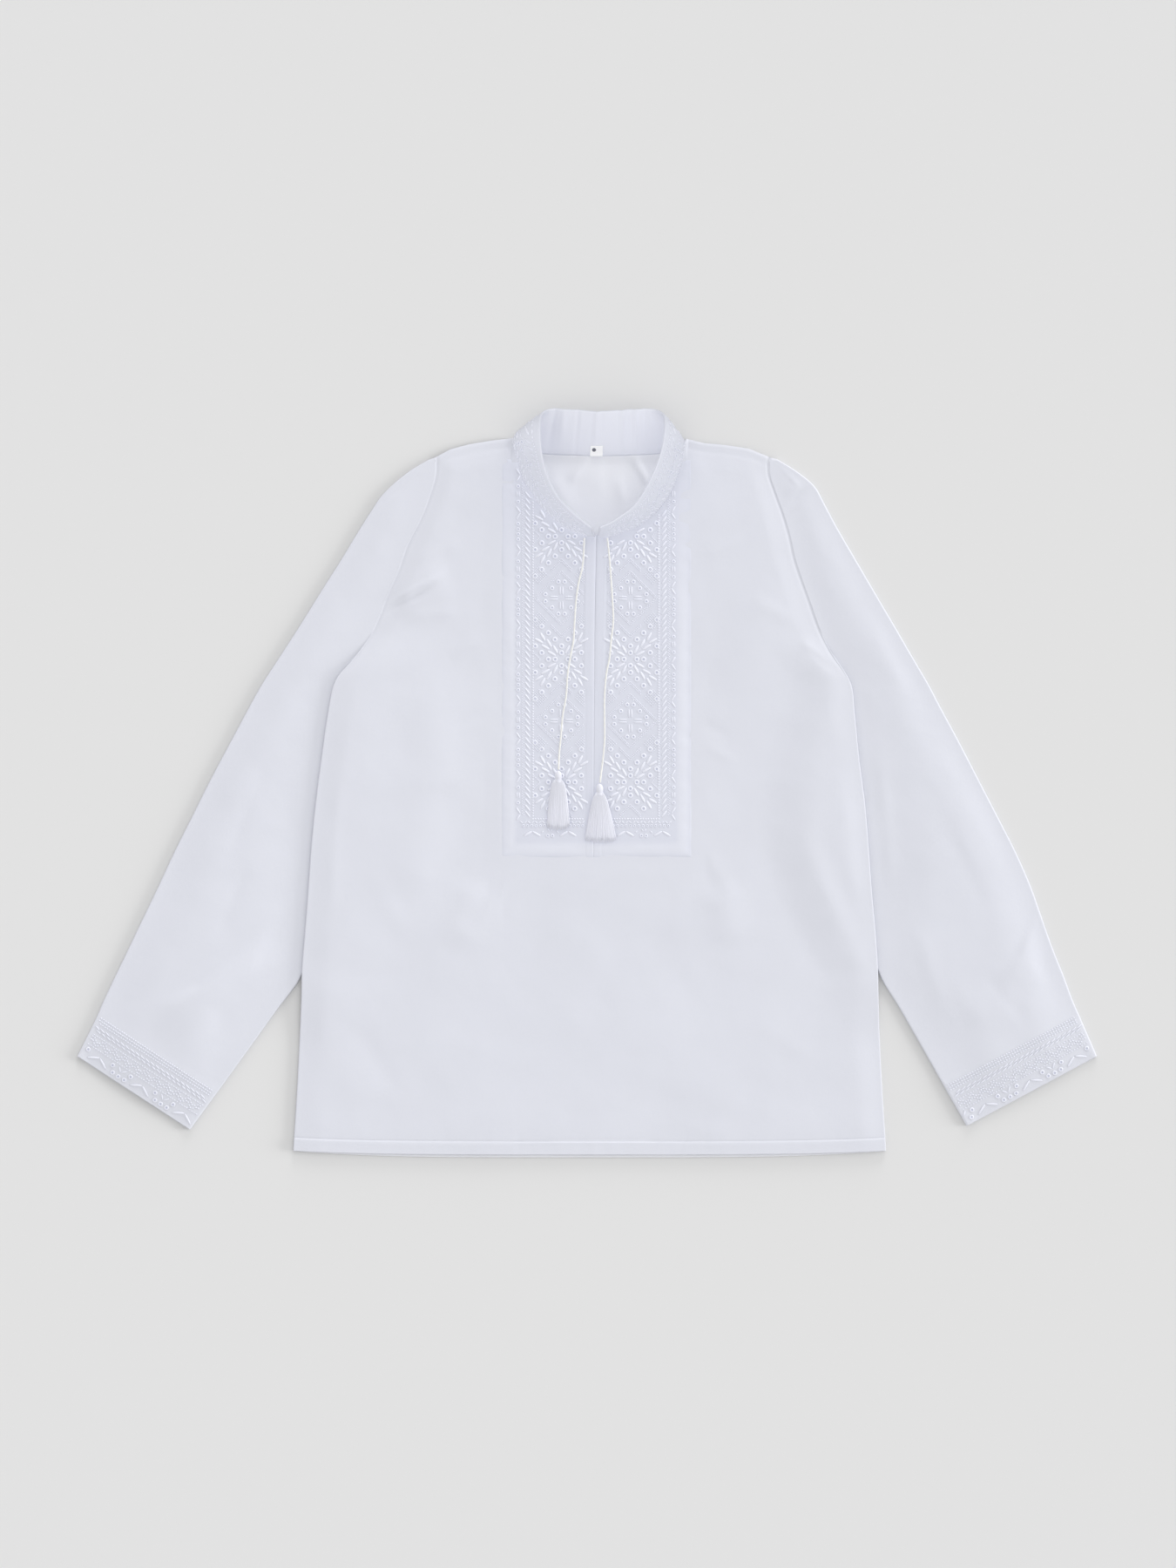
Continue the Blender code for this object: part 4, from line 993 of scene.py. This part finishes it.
def bibHeight(x, y):
    # the bib's upper surface: its edges roll down to the front, a pressed strip runs beside the slit
    toEdge = bibEdge(x, y)
    toSlit = np.abs(x - slitX(y))
    opened = smoothstep((y - bib["slitEndY"] + 6) / 6)
    fold = smoothstep((bib["shoulderLine"] - y) / cut["edgeRounding"])
    below = cut["layer"] + cut["solidWall"] + cut["frontEase"] * fold
    # the very edge sinks into the front, so that no rim stands
    uneven = bib["uneven"] * softNoise(x + 400, y + 400, 17, seeds["bib"])
    z = below + 0.03 - bib["sink"] * (1 - smoothstep(toEdge / 1.5)) + uneven
    high, over, less = bib["flatter"]
    lift = bib["lift"] * (1 - less * smoothstep((y - high) / over))
    z = z + lift * smoothstep(toEdge / bib["roundOver"])
    # the cloth is drawn in a little by the stitches: short puckers across the edge
    inner = bib["roundOver"] + 5 - toEdge
    pucker = bib["pucker"] * softNoise(x * 0.35 + 300, y + 300, 4.2, seeds["puckers"]) * (inner > 0)
    z = z + pucker * smoothstep(toEdge / 3) * smoothstep(inner / 6)
    reach = bib["placketBelow"] + (bib["placket"] - bib["placketBelow"]) * opened
    z = z + bib["placketRise"] * (1 - smoothstep((toSlit - reach) / 0.7)) * (0.5 + 0.5 * opened)
    z = z - bib["placketGroove"] * (1 + opened) * bell(toSlit - reach - 0.8, 0.5)
    groove = (0.06 + 0.16 * opened) * smoothstep((y - bib["bottom"]) / 22)
    return z - groove * bell(toSlit, 0.6 + 0.8 * opened)


def addBibHalf(name, side, node):
    # from the outer edge to the slit, and from the lower edge up to the shoulder and the neck
    outer = bib["outer"][0] if side < 0 else bib["outer"][1]
    stations = collarRight[-2::-1, :2] if side < 0 else collarLeft[1:, :2]
    neck = towardsNeck(smoothAt(stations, np.linspace(0, len(stations) - 1, 36)), 1.0)
    corner = np.array([[outer, bib["shoulderY"]]])
    top = np.concatenate([corner + np.linspace(0, 1, 8)[:-1, None] * (neck[:1] - corner), neck])
    top[-1, 0] = slitX(top[-1, 1]) + side * bib["slitHalfWidth"]
    across = np.concatenate([bib["edgeColumns"], np.linspace(0.028, 1, bib["columns"])])
    place = np.linspace(0, 1, len(top))
    top = np.column_stack([np.interp(across, place, top[:, axis]) for axis in (0, 1)])
    rows = np.concatenate([bib["edgeRows"], np.linspace(0.026, 1, bib["rows"])])
    innerY = bib["bottom"] + rows * (top[-1, 1] - bib["bottom"])
    opened = smoothstep((innerY - bib["slitEndY"]) / (top[-1, 1] - bib["slitEndY"]))
    half = bib["seamHalfWidth"] + (bib["slitHalfWidth"] - bib["seamHalfWidth"]) * opened
    inner = np.column_stack([slitX(innerY) + side * half, innerY])
    edgeY = bib["bottom"] + rows * (bib["shoulderY"] - bib["bottom"])
    edge = np.column_stack([np.full(len(rows), outer), edgeY])
    bottom = np.column_stack([outer + across * (inner[0, 0] - outer), np.full(len(across), bib["bottom"])])
    if side < 0:
        plan = betweenEdges(bottom, top, edge, inner)
    else:
        plan = betweenEdges(bottom[::-1], top[::-1], inner, edge)
    x, y = plan[..., 0], plan[..., 1]
    piece = newSheet(name, raised(plan, bibHeight(x, y)), bibLinenPaintedShade, bib["wall"], node)
    # the plain strip outside the embroidery, which its finish shows lighter: the ground within it is painted
    # darker, a painted shade of the embroidery, and the strip keeps only half of its lightness towards the top
    inside = bibEdge(x, y)
    unshadedBorder = smoothstep(inside / 6) * (1 - smoothstep((inside - 9.5) / 4.5))
    high, over, _ = bib["flatter"]
    unshadedBorder = unshadedBorder * (1 - 0.5 * smoothstep((y - high) / over))
    piece.data.attributes.new("unshadedBorder", "FLOAT", "POINT").data.foreach_set("value", unshadedBorder.ravel())
    return piece


bibRightCloth = addBibHalf("bibRightCloth", -1, "bib_right")
bibLeftCloth = addBibHalf("bibLeftCloth", 1, "bib_left")
print("bib is laid on")

# The collar, a stand
collar = {
    "height": 38.0,
    "wall": 1.9,
    "rows": 26,
    "stationStep": 1.2,
    "wrinkle": 0.85,
    # upright wrinkles in the back of the neck: x, half width, rise
    "wrinkles": (
        (-31, 2.2, -0.9), (-22, 3.5, 0.8), (-10, 1.6, -0.8), (5.6, 1.5, 0.9), (12, 3, -0.5),
        (30, 1.8, 0.9), (36, 3, -0.6), (40.6, 1.4, 0.8), (49, 2.6, -0.7),
    ),
    "stitchRise": 1.7,
}


def collarFrame():
    # each station's foot, top and outward bow in space; the rise is what its lean leaves of the height
    foot, top = collarStations[:, :2], collarStations[:, 2:4]
    reach = np.linalg.norm(top - foot, axis=1)
    footZ = collarStations[:, 5] + cut["seamGap"] + reach / collar["height"]
    rise = np.sqrt(collar["height"] ** 2 - reach**2)
    outward = foot - cut["neckCentre"]
    outward /= np.linalg.norm(outward, axis=1, keepdims=True)
    bow = np.column_stack([outward * collarStations[:, 4:5], 0 * reach])
    return np.column_stack([foot, footZ]), np.column_stack([top, footZ + rise]), bow


def standPoints(foot, top, bow, share):
    # the stand's middle surface at shares of its height, bowed most halfway up
    share = np.asarray(share)[:, None, None]
    return (1 - share) * foot[None] + share * top[None] + 4 * share * (1 - share) * bow[None]


def surfaceNormals(grid):
    # unit normals, from the differences down and along the grid
    down, along = np.gradient(grid, axis=0), np.gradient(grid, axis=1)
    normal = np.cross(along, down)
    return normal / np.linalg.norm(normal, axis=2, keepdims=True)


def addCollar():
    # the stand with its wrinkles, and its outer face with the normals that the stitches are laid along
    at = evenRows(collarFrame()[0], collar["stationStep"])
    share = np.linspace(0, 1, collar["rows"])
    grid = standPoints(*(smoothAt(rows, at) for rows in collarFrame()), share)
    normal = surfaceNormals(grid)
    # the wrinkles grow towards the top edge; the front part waves only slightly
    atBack = smoothstep((at - 8.5) / 1.5) * smoothstep((19 - at) / 1.5)
    wave = sum(rise * bell(grid[0, :, 0] - place, wide) for place, wide, rise in collar["wrinkles"])
    push = (atBack * wave)[None] * collar["wrinkle"] * (0.35 + smoothstep(share / 0.8))[:, None]
    push = push + (1 - atBack)[None] * 0.35 * np.sin(at * 2.7)[None] * np.sin(math.pi * share)[:, None]
    grid = grid + push[..., None] * normal
    # a closed band: up the inside, over a rounded top edge, down the outside and back under the foot
    half = collar["wall"] / 2
    body = half * (0.3 + 0.7 * smoothstep(share / 0.13))[:, None, None]
    inside, outside = grid + body * normal, grid - body * normal
    turn = np.linspace(0, math.pi, 7)[1:-1, None, None]
    up = grid[-1] - grid[-2]
    up = up / np.linalg.norm(up, axis=1, keepdims=True)
    over = grid[-1][None] + half * (np.cos(turn) * normal[-1][None] + np.sin(turn) * up[None])
    ring = np.swapaxes(np.concatenate([inside, over, outside[::-1]]), 0, 1)
    sections, count = ring.shape[:2]
    start, end = np.arange(count)[None], (count * (sections - 1) + np.arange(count))[None, ::-1]
    faces = [gridFaces(sections, count, wrap=True)[:, ::-1], start, end]
    piece = newPiece("collarStand", ring.reshape(-1, 3), faces, collarLinenPaintedLight)
    # the outer side has its own finish; the inner side's is painted lighter, a painted light in the shade inside
    # the standing collar
    piece.data.materials.append(collarOuter)
    column = np.arange((sections - 1) * count) % count
    outer = np.concatenate([(column >= len(share)) & (column < count - 1), [False, False]])
    piece.data.polygons.foreach_set("material_index", outer.astype(np.int32))
    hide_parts("collar")
    return piece, outside, -normal


collarStand, collarOutside, collarNormal = addCollar()
print("collar stands")

# The size label in the neck seam: a short loop of tape with a plain dark dot
label = {
    "x": (2.2, 12.4),
    "reach": 0.25,
    "lift": 0.35,
    "wall": 0.35,
    "collarStations": (10, 18),  # at the back of the neck
    "dot": (5.2, 0.16),
    "dotRadius": 1.6,
}


def labelSurface(x, share, lift):
    # over the collar's inner face at places along the neck, shares of its height and heights above its middle
    frame = [rows[slice(*label["collarStations"])] for rows in collarFrame()]
    order = frame[0][:, 0]
    foot, top, bow = (
        np.column_stack([np.interp(x, order, rows[:, axis]) for axis in range(3)]) for rows in frame
    )
    slope = (top - foot) / np.linalg.norm(top - foot, axis=1, keepdims=True)
    upright = np.cross([1.0, 0, 0], slope)
    return standPoints(foot, top, bow, share) + upright[None] * np.asarray(lift)[:, None, None]


def addLabel():
    # the tape bulges where it turns out of the seam
    share = np.linspace(0.015, label["reach"], 14)
    bulge = collar["wall"] / 2 + label["lift"] + 0.55 * bell(share - 0.03, 0.035)
    grid = labelSurface(np.linspace(*label["x"], 12), share, bulge)
    return newSheet("sizeLabel", grid, labelTape, label["wall"], "size_label", 1)


def addLabelDot():
    # a flat printed dot
    turn = np.linspace(0, 2 * math.pi, 20, endpoint=False)
    middleX, middleShare = label["dot"]
    x = middleX + label["dotRadius"] * np.cos(turn)
    share = middleShare + label["dotRadius"] * np.sin(turn) / collar["height"]
    lift = collar["wall"] / 2 + label["lift"] + label["wall"]
    count = len(turn)
    around = np.arange(count)
    rims = []
    for height in (lift - 0.05, lift + 0.06):
        rims.append(labelSurface(x, share, np.full(count, height))[around, around])
    walls = np.column_stack([around, (around + 1) % count, count + (around + 1) % count, count + around])
    faces = [walls, around[None, ::-1], count + around[None]]
    return newPiece("labelDot", np.concatenate(rims), faces, labelMark)


sizeLabel = addLabel()
labelDot = addLabelDot()
print("label is sewn in")

# Embroidery: satin bars, petals and eyelets, each a small closed form laid on the cloth. A chart holds
# bars as (p, q, turn in degrees, length, width) and eyelets as (p, q, radius), in millimetres; the
# numbers in the motifs are such places, sizes and turns.
stitches = {
    "barHeight": 0.37,
    "eyeletHeight": 0.35,
    "sunk": 0.3,  # share of the height that lies below the cloth's surface
    "dot": 1.45,
    "fine": 0.72,
    "eyelet": 2.35,
    "smallEyelet": 1.6,
    "innermost": -18.3,  # the chart's p beside the slit
    "highest": 258.0,
    "belowNeck": 4.2,
}
hexagon = np.linspace(0, 2 * math.pi, 6, endpoint=False)
decagon = np.linspace(0, 2 * math.pi, 10, endpoint=False)


def tubeFaces(rings, around):
    # corners of a closed form: a pole, rings of points around its axis, and another pole
    here = np.arange(around)
    there = (here + 1) % around
    last = 1 + (rings - 1) * around
    start = np.column_stack([0 * here, 1 + there, 1 + here])
    end = np.column_stack([0 * here + last + around, last + here, last + there])
    return 1 + gridFaces(rings, around, wrap=True), np.concatenate([start, end])


def barForms(bars):
    # p, q, height and share of the holes' painted shade (none) for every point of each bar: a pole, three rings
    # of six, a pole
    lift = np.sin(hexagon)
    lift = np.where(lift < 0, stitches["sunk"] * lift, lift)
    along = np.concatenate([[-1.0], np.full(6, -0.74), np.zeros(6), np.full(6, 0.74), [1.0]])
    side = np.concatenate([[0], 0.74 * np.cos(hexagon), np.cos(hexagon), 0.74 * np.cos(hexagon), [0]])
    height = np.concatenate([[0], 0.8 * lift, lift, 0.8 * lift, [0]]) * stitches["barHeight"]
    turn = np.radians(bars[:, 2:3])
    a, s = along * bars[:, 3:4] / 2, side * bars[:, 4:5] / 2
    p = bars[:, :1] + a * np.cos(turn) - s * np.sin(turn)
    q = bars[:, 1:2] + a * np.sin(turn) + s * np.cos(turn)
    # a bar narrower than it is high lies lower
    return p, q, height * np.clip(bars[:, 4:5] / 0.9, 0.35, 1), 0 * p


def eyeletForms(eyelets):
    # the same of each eyelet, from the underside's pole out to the rim, over the crest and in to the hole
    share = np.concatenate([[0], np.repeat([1.0, 0.76, 0.5, 0.37], 10), [0]])
    turn = np.concatenate([[0], np.tile(decagon, 4), [0]])
    height = np.concatenate([[-0.4], np.repeat([-0.15, 1.0, 0.7, 0.12], 10), [0.06]]) * stitches["eyeletHeight"]
    # the innermost ring and the middle take the painted shade of the hole
    holeShade = np.concatenate([[0], np.repeat([0, 0, 0, 1.0], 10), [1.0]])
    p = eyelets[:, :1] + eyelets[:, 2:3] * share * np.cos(turn)
    q = eyelets[:, 1:2] + eyelets[:, 2:3] * share * np.sin(turn)
    return p, q, height * np.ones_like(p), holeShade * np.ones_like(p)


def embroider(name, chart, surface, mirrored):
    # surface gives a point in space for places p and q on the chart and a height above the cloth
    bars, eyelets = (np.array(marks, float) for marks in chart)
    forms = barForms(bars), eyeletForms(eyelets)
    quads, triangles, first = [], [], 0
    for form, rings in zip(forms, ((3, 6), (4, 10))):
        count, points = form[0].shape
        starts = first + points * np.arange(count)[:, None, None]
        body, ends = tubeFaces(*rings)
        quads.append((starts + body[None]).reshape(-1, 4))
        triangles.append((starts + ends[None]).reshape(-1, 3))
        first += count * points
    p, q, height, holeShades = (np.concatenate([form[axis].ravel() for form in forms]) for axis in range(4))
    faces = [corners[:, ::-1] if mirrored else corners for corners in quads + triangles]
    piece = newPiece(name, surface(p, q, height), faces, thread)
    # each point's share of the painted shade in the eyelets' holes
    piece.data.attributes.new("holeShade", "FLOAT", "POINT").data.foreach_set("value", holeShades)
    return piece


def dottedLine(start, end, pitch, size):
    # bars of one size in an even row, each lying along it
    start, end = np.array(start, float), np.array(end, float)
    length = np.linalg.norm(end - start)
    turn = math.degrees(math.atan2(*(end - start)[::-1]))
    steps = (np.arange(int(length / pitch)) + 0.5) * pitch
    return [(*(start + (end - start) * step / length), turn, *size) for step in steps]


def starMotif(y):
    # eyelets in a cross and in four V's, three pairs of petals on every diagonal, fine V's between
    bars, eyelets = [], []
    size = stitches["eyelet"]
    for across, up in ((1, 0), (-1, 0), (0, 1), (0, -1)):
        eyelets += [(across * r, y + up * r, size) for r in (5.2, 10.6)]
    for up in (1, -1):
        for side in (1, -1):
            # the border leaves the lowest star less room below
            rows = 2 if up < 0 and y < 10 else 4 if side > 0 else 3
            eyelets += [(side * 5.3 * k, y + up * (10.6 + 5.3 * k), size) for k in range(1, rows + 1)]
            eyelets += [(side * (10.6 + 5.3 * k), y + up * 5.3 * k, size) for k in (1, 2)]
            angle = math.atan2(up, side)
            diagonal = math.degrees(angle)
            for reach in (9.0, 16.2, 23.4):
                for off, turned in ((2.2, 16), (-2.2, -16)):
                    x = reach * math.cos(angle) - off * math.sin(angle)
                    rise = reach * math.sin(angle) + off * math.cos(angle)
                    bars.append((x, y + rise, diagonal + turned, 8.2, 2.1))
            for apex, end in (((0, 17.8), (9, 26.8)), ((0, 19.6), (9, 28.6)), ((17, 0), (24, 7))):
                start = (side * apex[0], y + up * apex[1])
                bars += dottedLine(start, (side * end[0], y + up * end[1]), 1.5, (1.3, stitches["fine"]))
    return bars, eyelets


def crossMotif(y):
    # four arms of two bars, a ring of eyelets, a fine double diamond and four lattices of dots
    bars, eyelets = [], []
    for turn in (0, 90, 180, 270):
        cosine, sine = math.cos(math.radians(turn)), math.sin(math.radians(turn))
        for off in (-1.05, 1.05):
            x, rise = 6.0 * cosine - off * sine, 6.0 * sine + off * cosine
            bars.append((x, y + rise, turn, 7.2, 1.15))
    for x, rise in ((2.5, 12.9), (12.9, 2.8), (7.6, 7.8)):
        eyelets += [(a * x, y + b * rise, stitches["smallEyelet"] + 0.3) for a in (1, -1) for b in (1, -1)]
    for reach in (20.3, 21.9):
        corners = [(reach, y), (0, y + reach), (-reach, y), (0, y - reach), (reach, y)]
        for start, end in zip(corners[:-1], corners[1:]):
            bars += dottedLine(start, end, 1.7, (1.5, stitches["fine"]))
    steps = np.arange(-3, 4) * 1.55
    for a in (1, -1):
        for b in (1, -1):
            for u in steps:
                for v in steps:
                    x, rise = (u + v) / math.sqrt(2), (u - v) / math.sqrt(2)
                    bars.append((a * 18 + x, y + b * 18.4 + rise, 45, 0.95, 0.85))
    return bars, eyelets


def sideBorder():
    # dots, a rope of slanted dashes, more dots, then chevrons with eyelets and strokes between them
    dot = stitches["dot"]
    bars = dottedLine((22.9, -27), (22.9, 262), 2.1, (dot, dot))
    bars += [(27.2, y, 52, 7.0, 1.45) for y in np.arange(-24.4, 262, 4.93)]
    bars += dottedLine((30.3, -26), (30.3, 262), 2.0, (1.0, 0.8))
    bars += dottedLine((31.5, -25), (31.5, 262), 2.0, (1.0, 0.8))
    eyelets = []
    for number, y in enumerate(-24.4 + 30.24 * np.arange(10)):
        for up in (1, -1):
            bars.append((34.6, y + up * 2.65, up * 57, 6.3, 1.3))
            eyelets.append((34.8, y + 15.1 + up * 6.2, stitches["smallEyelet"]))
        if number % 2:
            eyelets += [(34.8, y + 15.1 + up * 2.0, stitches["smallEyelet"]) for up in (1, -1)]
        else:
            bars += [(p, y + 15.1, 90, 5.0, 1.1) for p in (34.0, 35.6)]
    return bars, eyelets


def bottomBorder(chevrons):
    # dots, a fine zigzag, a row of eyelets and the chevrons with eyelets and strokes between them
    dot = stitches["dot"]
    bars = dottedLine((-18, -28.4), (24, -28.4), 2.1, (dot, dot))
    for number, p in enumerate(np.arange(-17.4, 33, 2.9)):
        bars.append((p, -31.1, 40 if number % 2 else -40, 3.2, 0.9))
    eyelets = [(p, -33.9, 1.25) for p in np.arange(-17.0, 33, 3.4)]
    for p in chevrons:
        for side in (1, -1):
            bars.append((p + side * 3.5, -40.3, -side * 30, 8.0, 1.8))
    for p in (np.array(chevrons[:-1]) + np.array(chevrons[1:])) / 2:
        eyelets += [(p + side * 1.9, -41.9, stitches["smallEyelet"]) for side in (1, -1)]
        bars += [(p + side * 1.1, -37.4, side * 50, 2.6, 0.9) for side in (1, -1)]
        bars += [(p + side * 6.0, -38.8, -side * 50, 2.4, 0.9) for side in (1, -1)]
    return bars, eyelets


collarFeet = {
    -1: collarRight[::-1, :2],
    1: collarLeft[::-1, :2][np.argsort(collarLeft[::-1, 0])],
}
bibColumns = {-1: -20.65, 1: 34.65}


def clearOfNeck(marks, side):
    # marks whose middle lies on the bib outside the collar's foot, and off the strip beside the slit
    feet = collarFeet[side]
    kept = []
    for mark in marks:
        x = bibColumns[side] + side * mark[0]
        limit = stitches["highest"]
        if feet[0, 0] - 2.5 <= x <= feet[-1, 0] + 2.5:
            limit = min(np.interp(x, feet[:, 0], feet[:, 1]) - stitches["belowNeck"], limit)
        if mark[0] > stitches["innermost"] and mark[1] < limit:
            kept.append(mark)
    return kept


def addBibStitches(name, side, chevrons):
    # three stars and three crosses one above another, with a border beside and below them
    parts = [starMotif(y) for y in (1.05, 99.75, 198.4)] + [crossMotif(y) for y in (50.4, 149.1, 247.8)]
    parts += [sideBorder(), bottomBorder(chevrons)]
    bars = clearOfNeck([bar for part in parts for bar in part[0]], side)
    eyelets = clearOfNeck([eyelet for part in parts for eyelet in part[1]], side)

    def onBib(p, q, height):
        x = bibColumns[side] + side * p
        return np.column_stack([x, q, bibHeight(x, q) + height])

    piece = embroider(name, (bars, eyelets), onBib, side < 0)
    print(name, len(bars), "bars", len(eyelets), "eyelets")
    return piece


bibStitchesRight = addBibStitches("bibStitchesRight", -1, (-5.2, 23.5))
bibStitchesLeft = addBibStitches("bibStitchesLeft", 1, (-3.9, 25.6))


def heightOn(grid, x, y):
    # the height of a laid surface at any place, from its four nearest points
    near = grid.reshape(-1, 3)
    inside = (near[:, 0] > x.min() - 8) & (near[:, 0] < x.max() + 8)
    near = near[inside & (near[:, 1] > y.min() - 8) & (near[:, 1] < y.max() + 8)]
    away = (near[None, :, 0] - x[:, None]) ** 2 + (near[None, :, 1] - y[:, None]) ** 2
    nearest = np.argpartition(away, 4, axis=1)[:, :4]
    weight = 1 / (np.take_along_axis(away, nearest, axis=1) + 0.02)
    return (near[nearest, 2] * weight).sum(axis=1) / weight.sum(axis=1)


# The cuffs: the chart's p runs along the cuff's edge from the outer fold, its q up the sleeve
cuffs = {"chevronPitch": 40.6, "firstChevron": 16.0, "inset": 2.6, "clear": 0.18}


def addCuffStitches(name, arm, grid):
    # five rows of dots, slanted dashes, two waves, and chevrons with eyelets between them
    fold, seam = arm[-1, :2], arm[-1, 2:4]
    width = np.linalg.norm(seam - fold)
    edge = (seam - fold) / width
    upwards = np.array([-edge[1], edge[0]])
    if upwards[1] < 0:
        upwards = -upwards
    # how far the outer fold and the seam lean beyond the square, per millimetre up the sleeve
    foldUp, seamUp = arm[-2, :2] - fold, arm[-2, 2:4] - seam
    foldLean, seamLean = foldUp @ edge / (foldUp @ upwards), seamUp @ edge / (seamUp @ upwards)
    bars = []
    for rows, pitch, size in (((36.0, 33.8, 31.6), 2.2, (1.4, 1.15)), ((22.0, 13.2), 2.3, (1.3, 1.0))):
        for q in rows:
            bars += dottedLine((-6, q), (width + 8, q), pitch, size)
    for number, p in enumerate(np.arange(-6, width + 8, 2.4)):
        bars.append((p, 27.9 if number % 2 else 25.6, -16, 5.2, 1.1))
    wave = np.arange(-4, width + 8, 1.9)
    for q in (19.0, 16.4):
        bars += [(p, q + 1.5 * math.sin(0.62 * p), 45 * math.cos(0.62 * p), 1.6, 1.2) for p in wave]
    eyelets = []
    for middle in cuffs["firstChevron"] + cuffs["chevronPitch"] * np.arange(-1, 4):
        bars += [(middle + turn * 4.6, 6.0, -turn * 30, 10.4, 1.8) for turn in (1, -1)]
        between = middle + cuffs["chevronPitch"] / 2
        for p, q in ((-5.6, 4.4), (0, 4.2), (5.6, 4.4), (-8.6, 9.4), (8.6, 9.4)):
            eyelets.append((between + p, q, 2.1))
        bars += [(between + turn * 2.0, 9.8, turn * 48, 5.2, 1.3) for turn in (1, -1)]

    def shown(mark):
        low = foldLean * mark[1] + cuffs["inset"] + mark[-1] / 2
        high = width + seamLean * mark[1] - cuffs["inset"] - mark[-1] / 2
        return low < mark[0] < high

    def onCuff(p, q, height):
        place = fold + p[:, None] * edge + q[:, None] * upwards
        return np.column_stack([place, heightOn(grid, *place.T) + cuffs["clear"] + height])

    mirrored = edge[0] * upwards[1] - edge[1] * upwards[0] < 0
    marks = [mark for mark in bars if shown(mark)], [mark for mark in eyelets if shown(mark)]
    return embroider(name, marks, onCuff, mirrored)


cuffStitchesRight = addCuffStitches("cuffStitchesRight", armRight, sleeveRightGrid)
cuffStitchesLeft = addCuffStitches("cuffStitchesLeft", armLeft, sleeveLeftGrid)


def addCollarStitches():
    # on the outer face: the chart's p runs along the neck seam from the right end, its q up the stand
    travel = travelled(collarOutside[0])
    length = travel[-1] - 6
    bars = []
    for q in (4.2, 33.4):
        bars += dottedLine((6, q), (length, q), 2.1, (stitches["dot"], stitches["dot"]))
    for q, turn in ((8.6, 50), (29.0, 130)):
        bars += [(p, q, turn, 6.2, 1.4) for p in np.arange(8, length, 4.93)]
    eyelets = []
    for middle in np.arange(17, length - 8, 17.0):
        eyelets += [(middle + p, 18.8 + q, 1.7) for p, q in ((0, 0), (4.2, 0), (-4.2, 0), (0, 4.2), (0, -4.2))]
        for across, up in ((1, 1), (1, -1), (-1, 1), (-1, -1)):
            bars += dottedLine((middle + across * 8.5, 18.8), (middle, 18.8 + up * 7.6), 1.6, (1.2, 0.6))

    def onCollar(p, q, height):
        column = np.clip(np.interp(p, travel, np.arange(len(travel))), 0, len(travel) - 1.001)
        row = np.clip(q / collar["height"] * (collar["rows"] - 1), 0, collar["rows"] - 1.001)
        i, j = row.astype(int), column.astype(int)
        s, t = (row - i)[:, None], (column - j)[:, None]
        mixed = []
        for values in (collarOutside, collarNormal):
            near = (1 - t) * values[i, j] + t * values[i, j + 1]
            far = (1 - t) * values[i + 1, j] + t * values[i + 1, j + 1]
            mixed.append((1 - s) * near + s * far)
        return mixed[0] + collar["stitchRise"] * height[:, None] * mixed[1]

    return embroider("collarStitches", (bars, eyelets), onCollar, False)


collarStitches = addCollarStitches()
print("embroidery is worked")

standing = [collarStand, collarStitches, sizeLabel, labelDot]
shareLight(suns, floor, standing, [tieRight, tieLeft, tasselRight, tasselLeft])
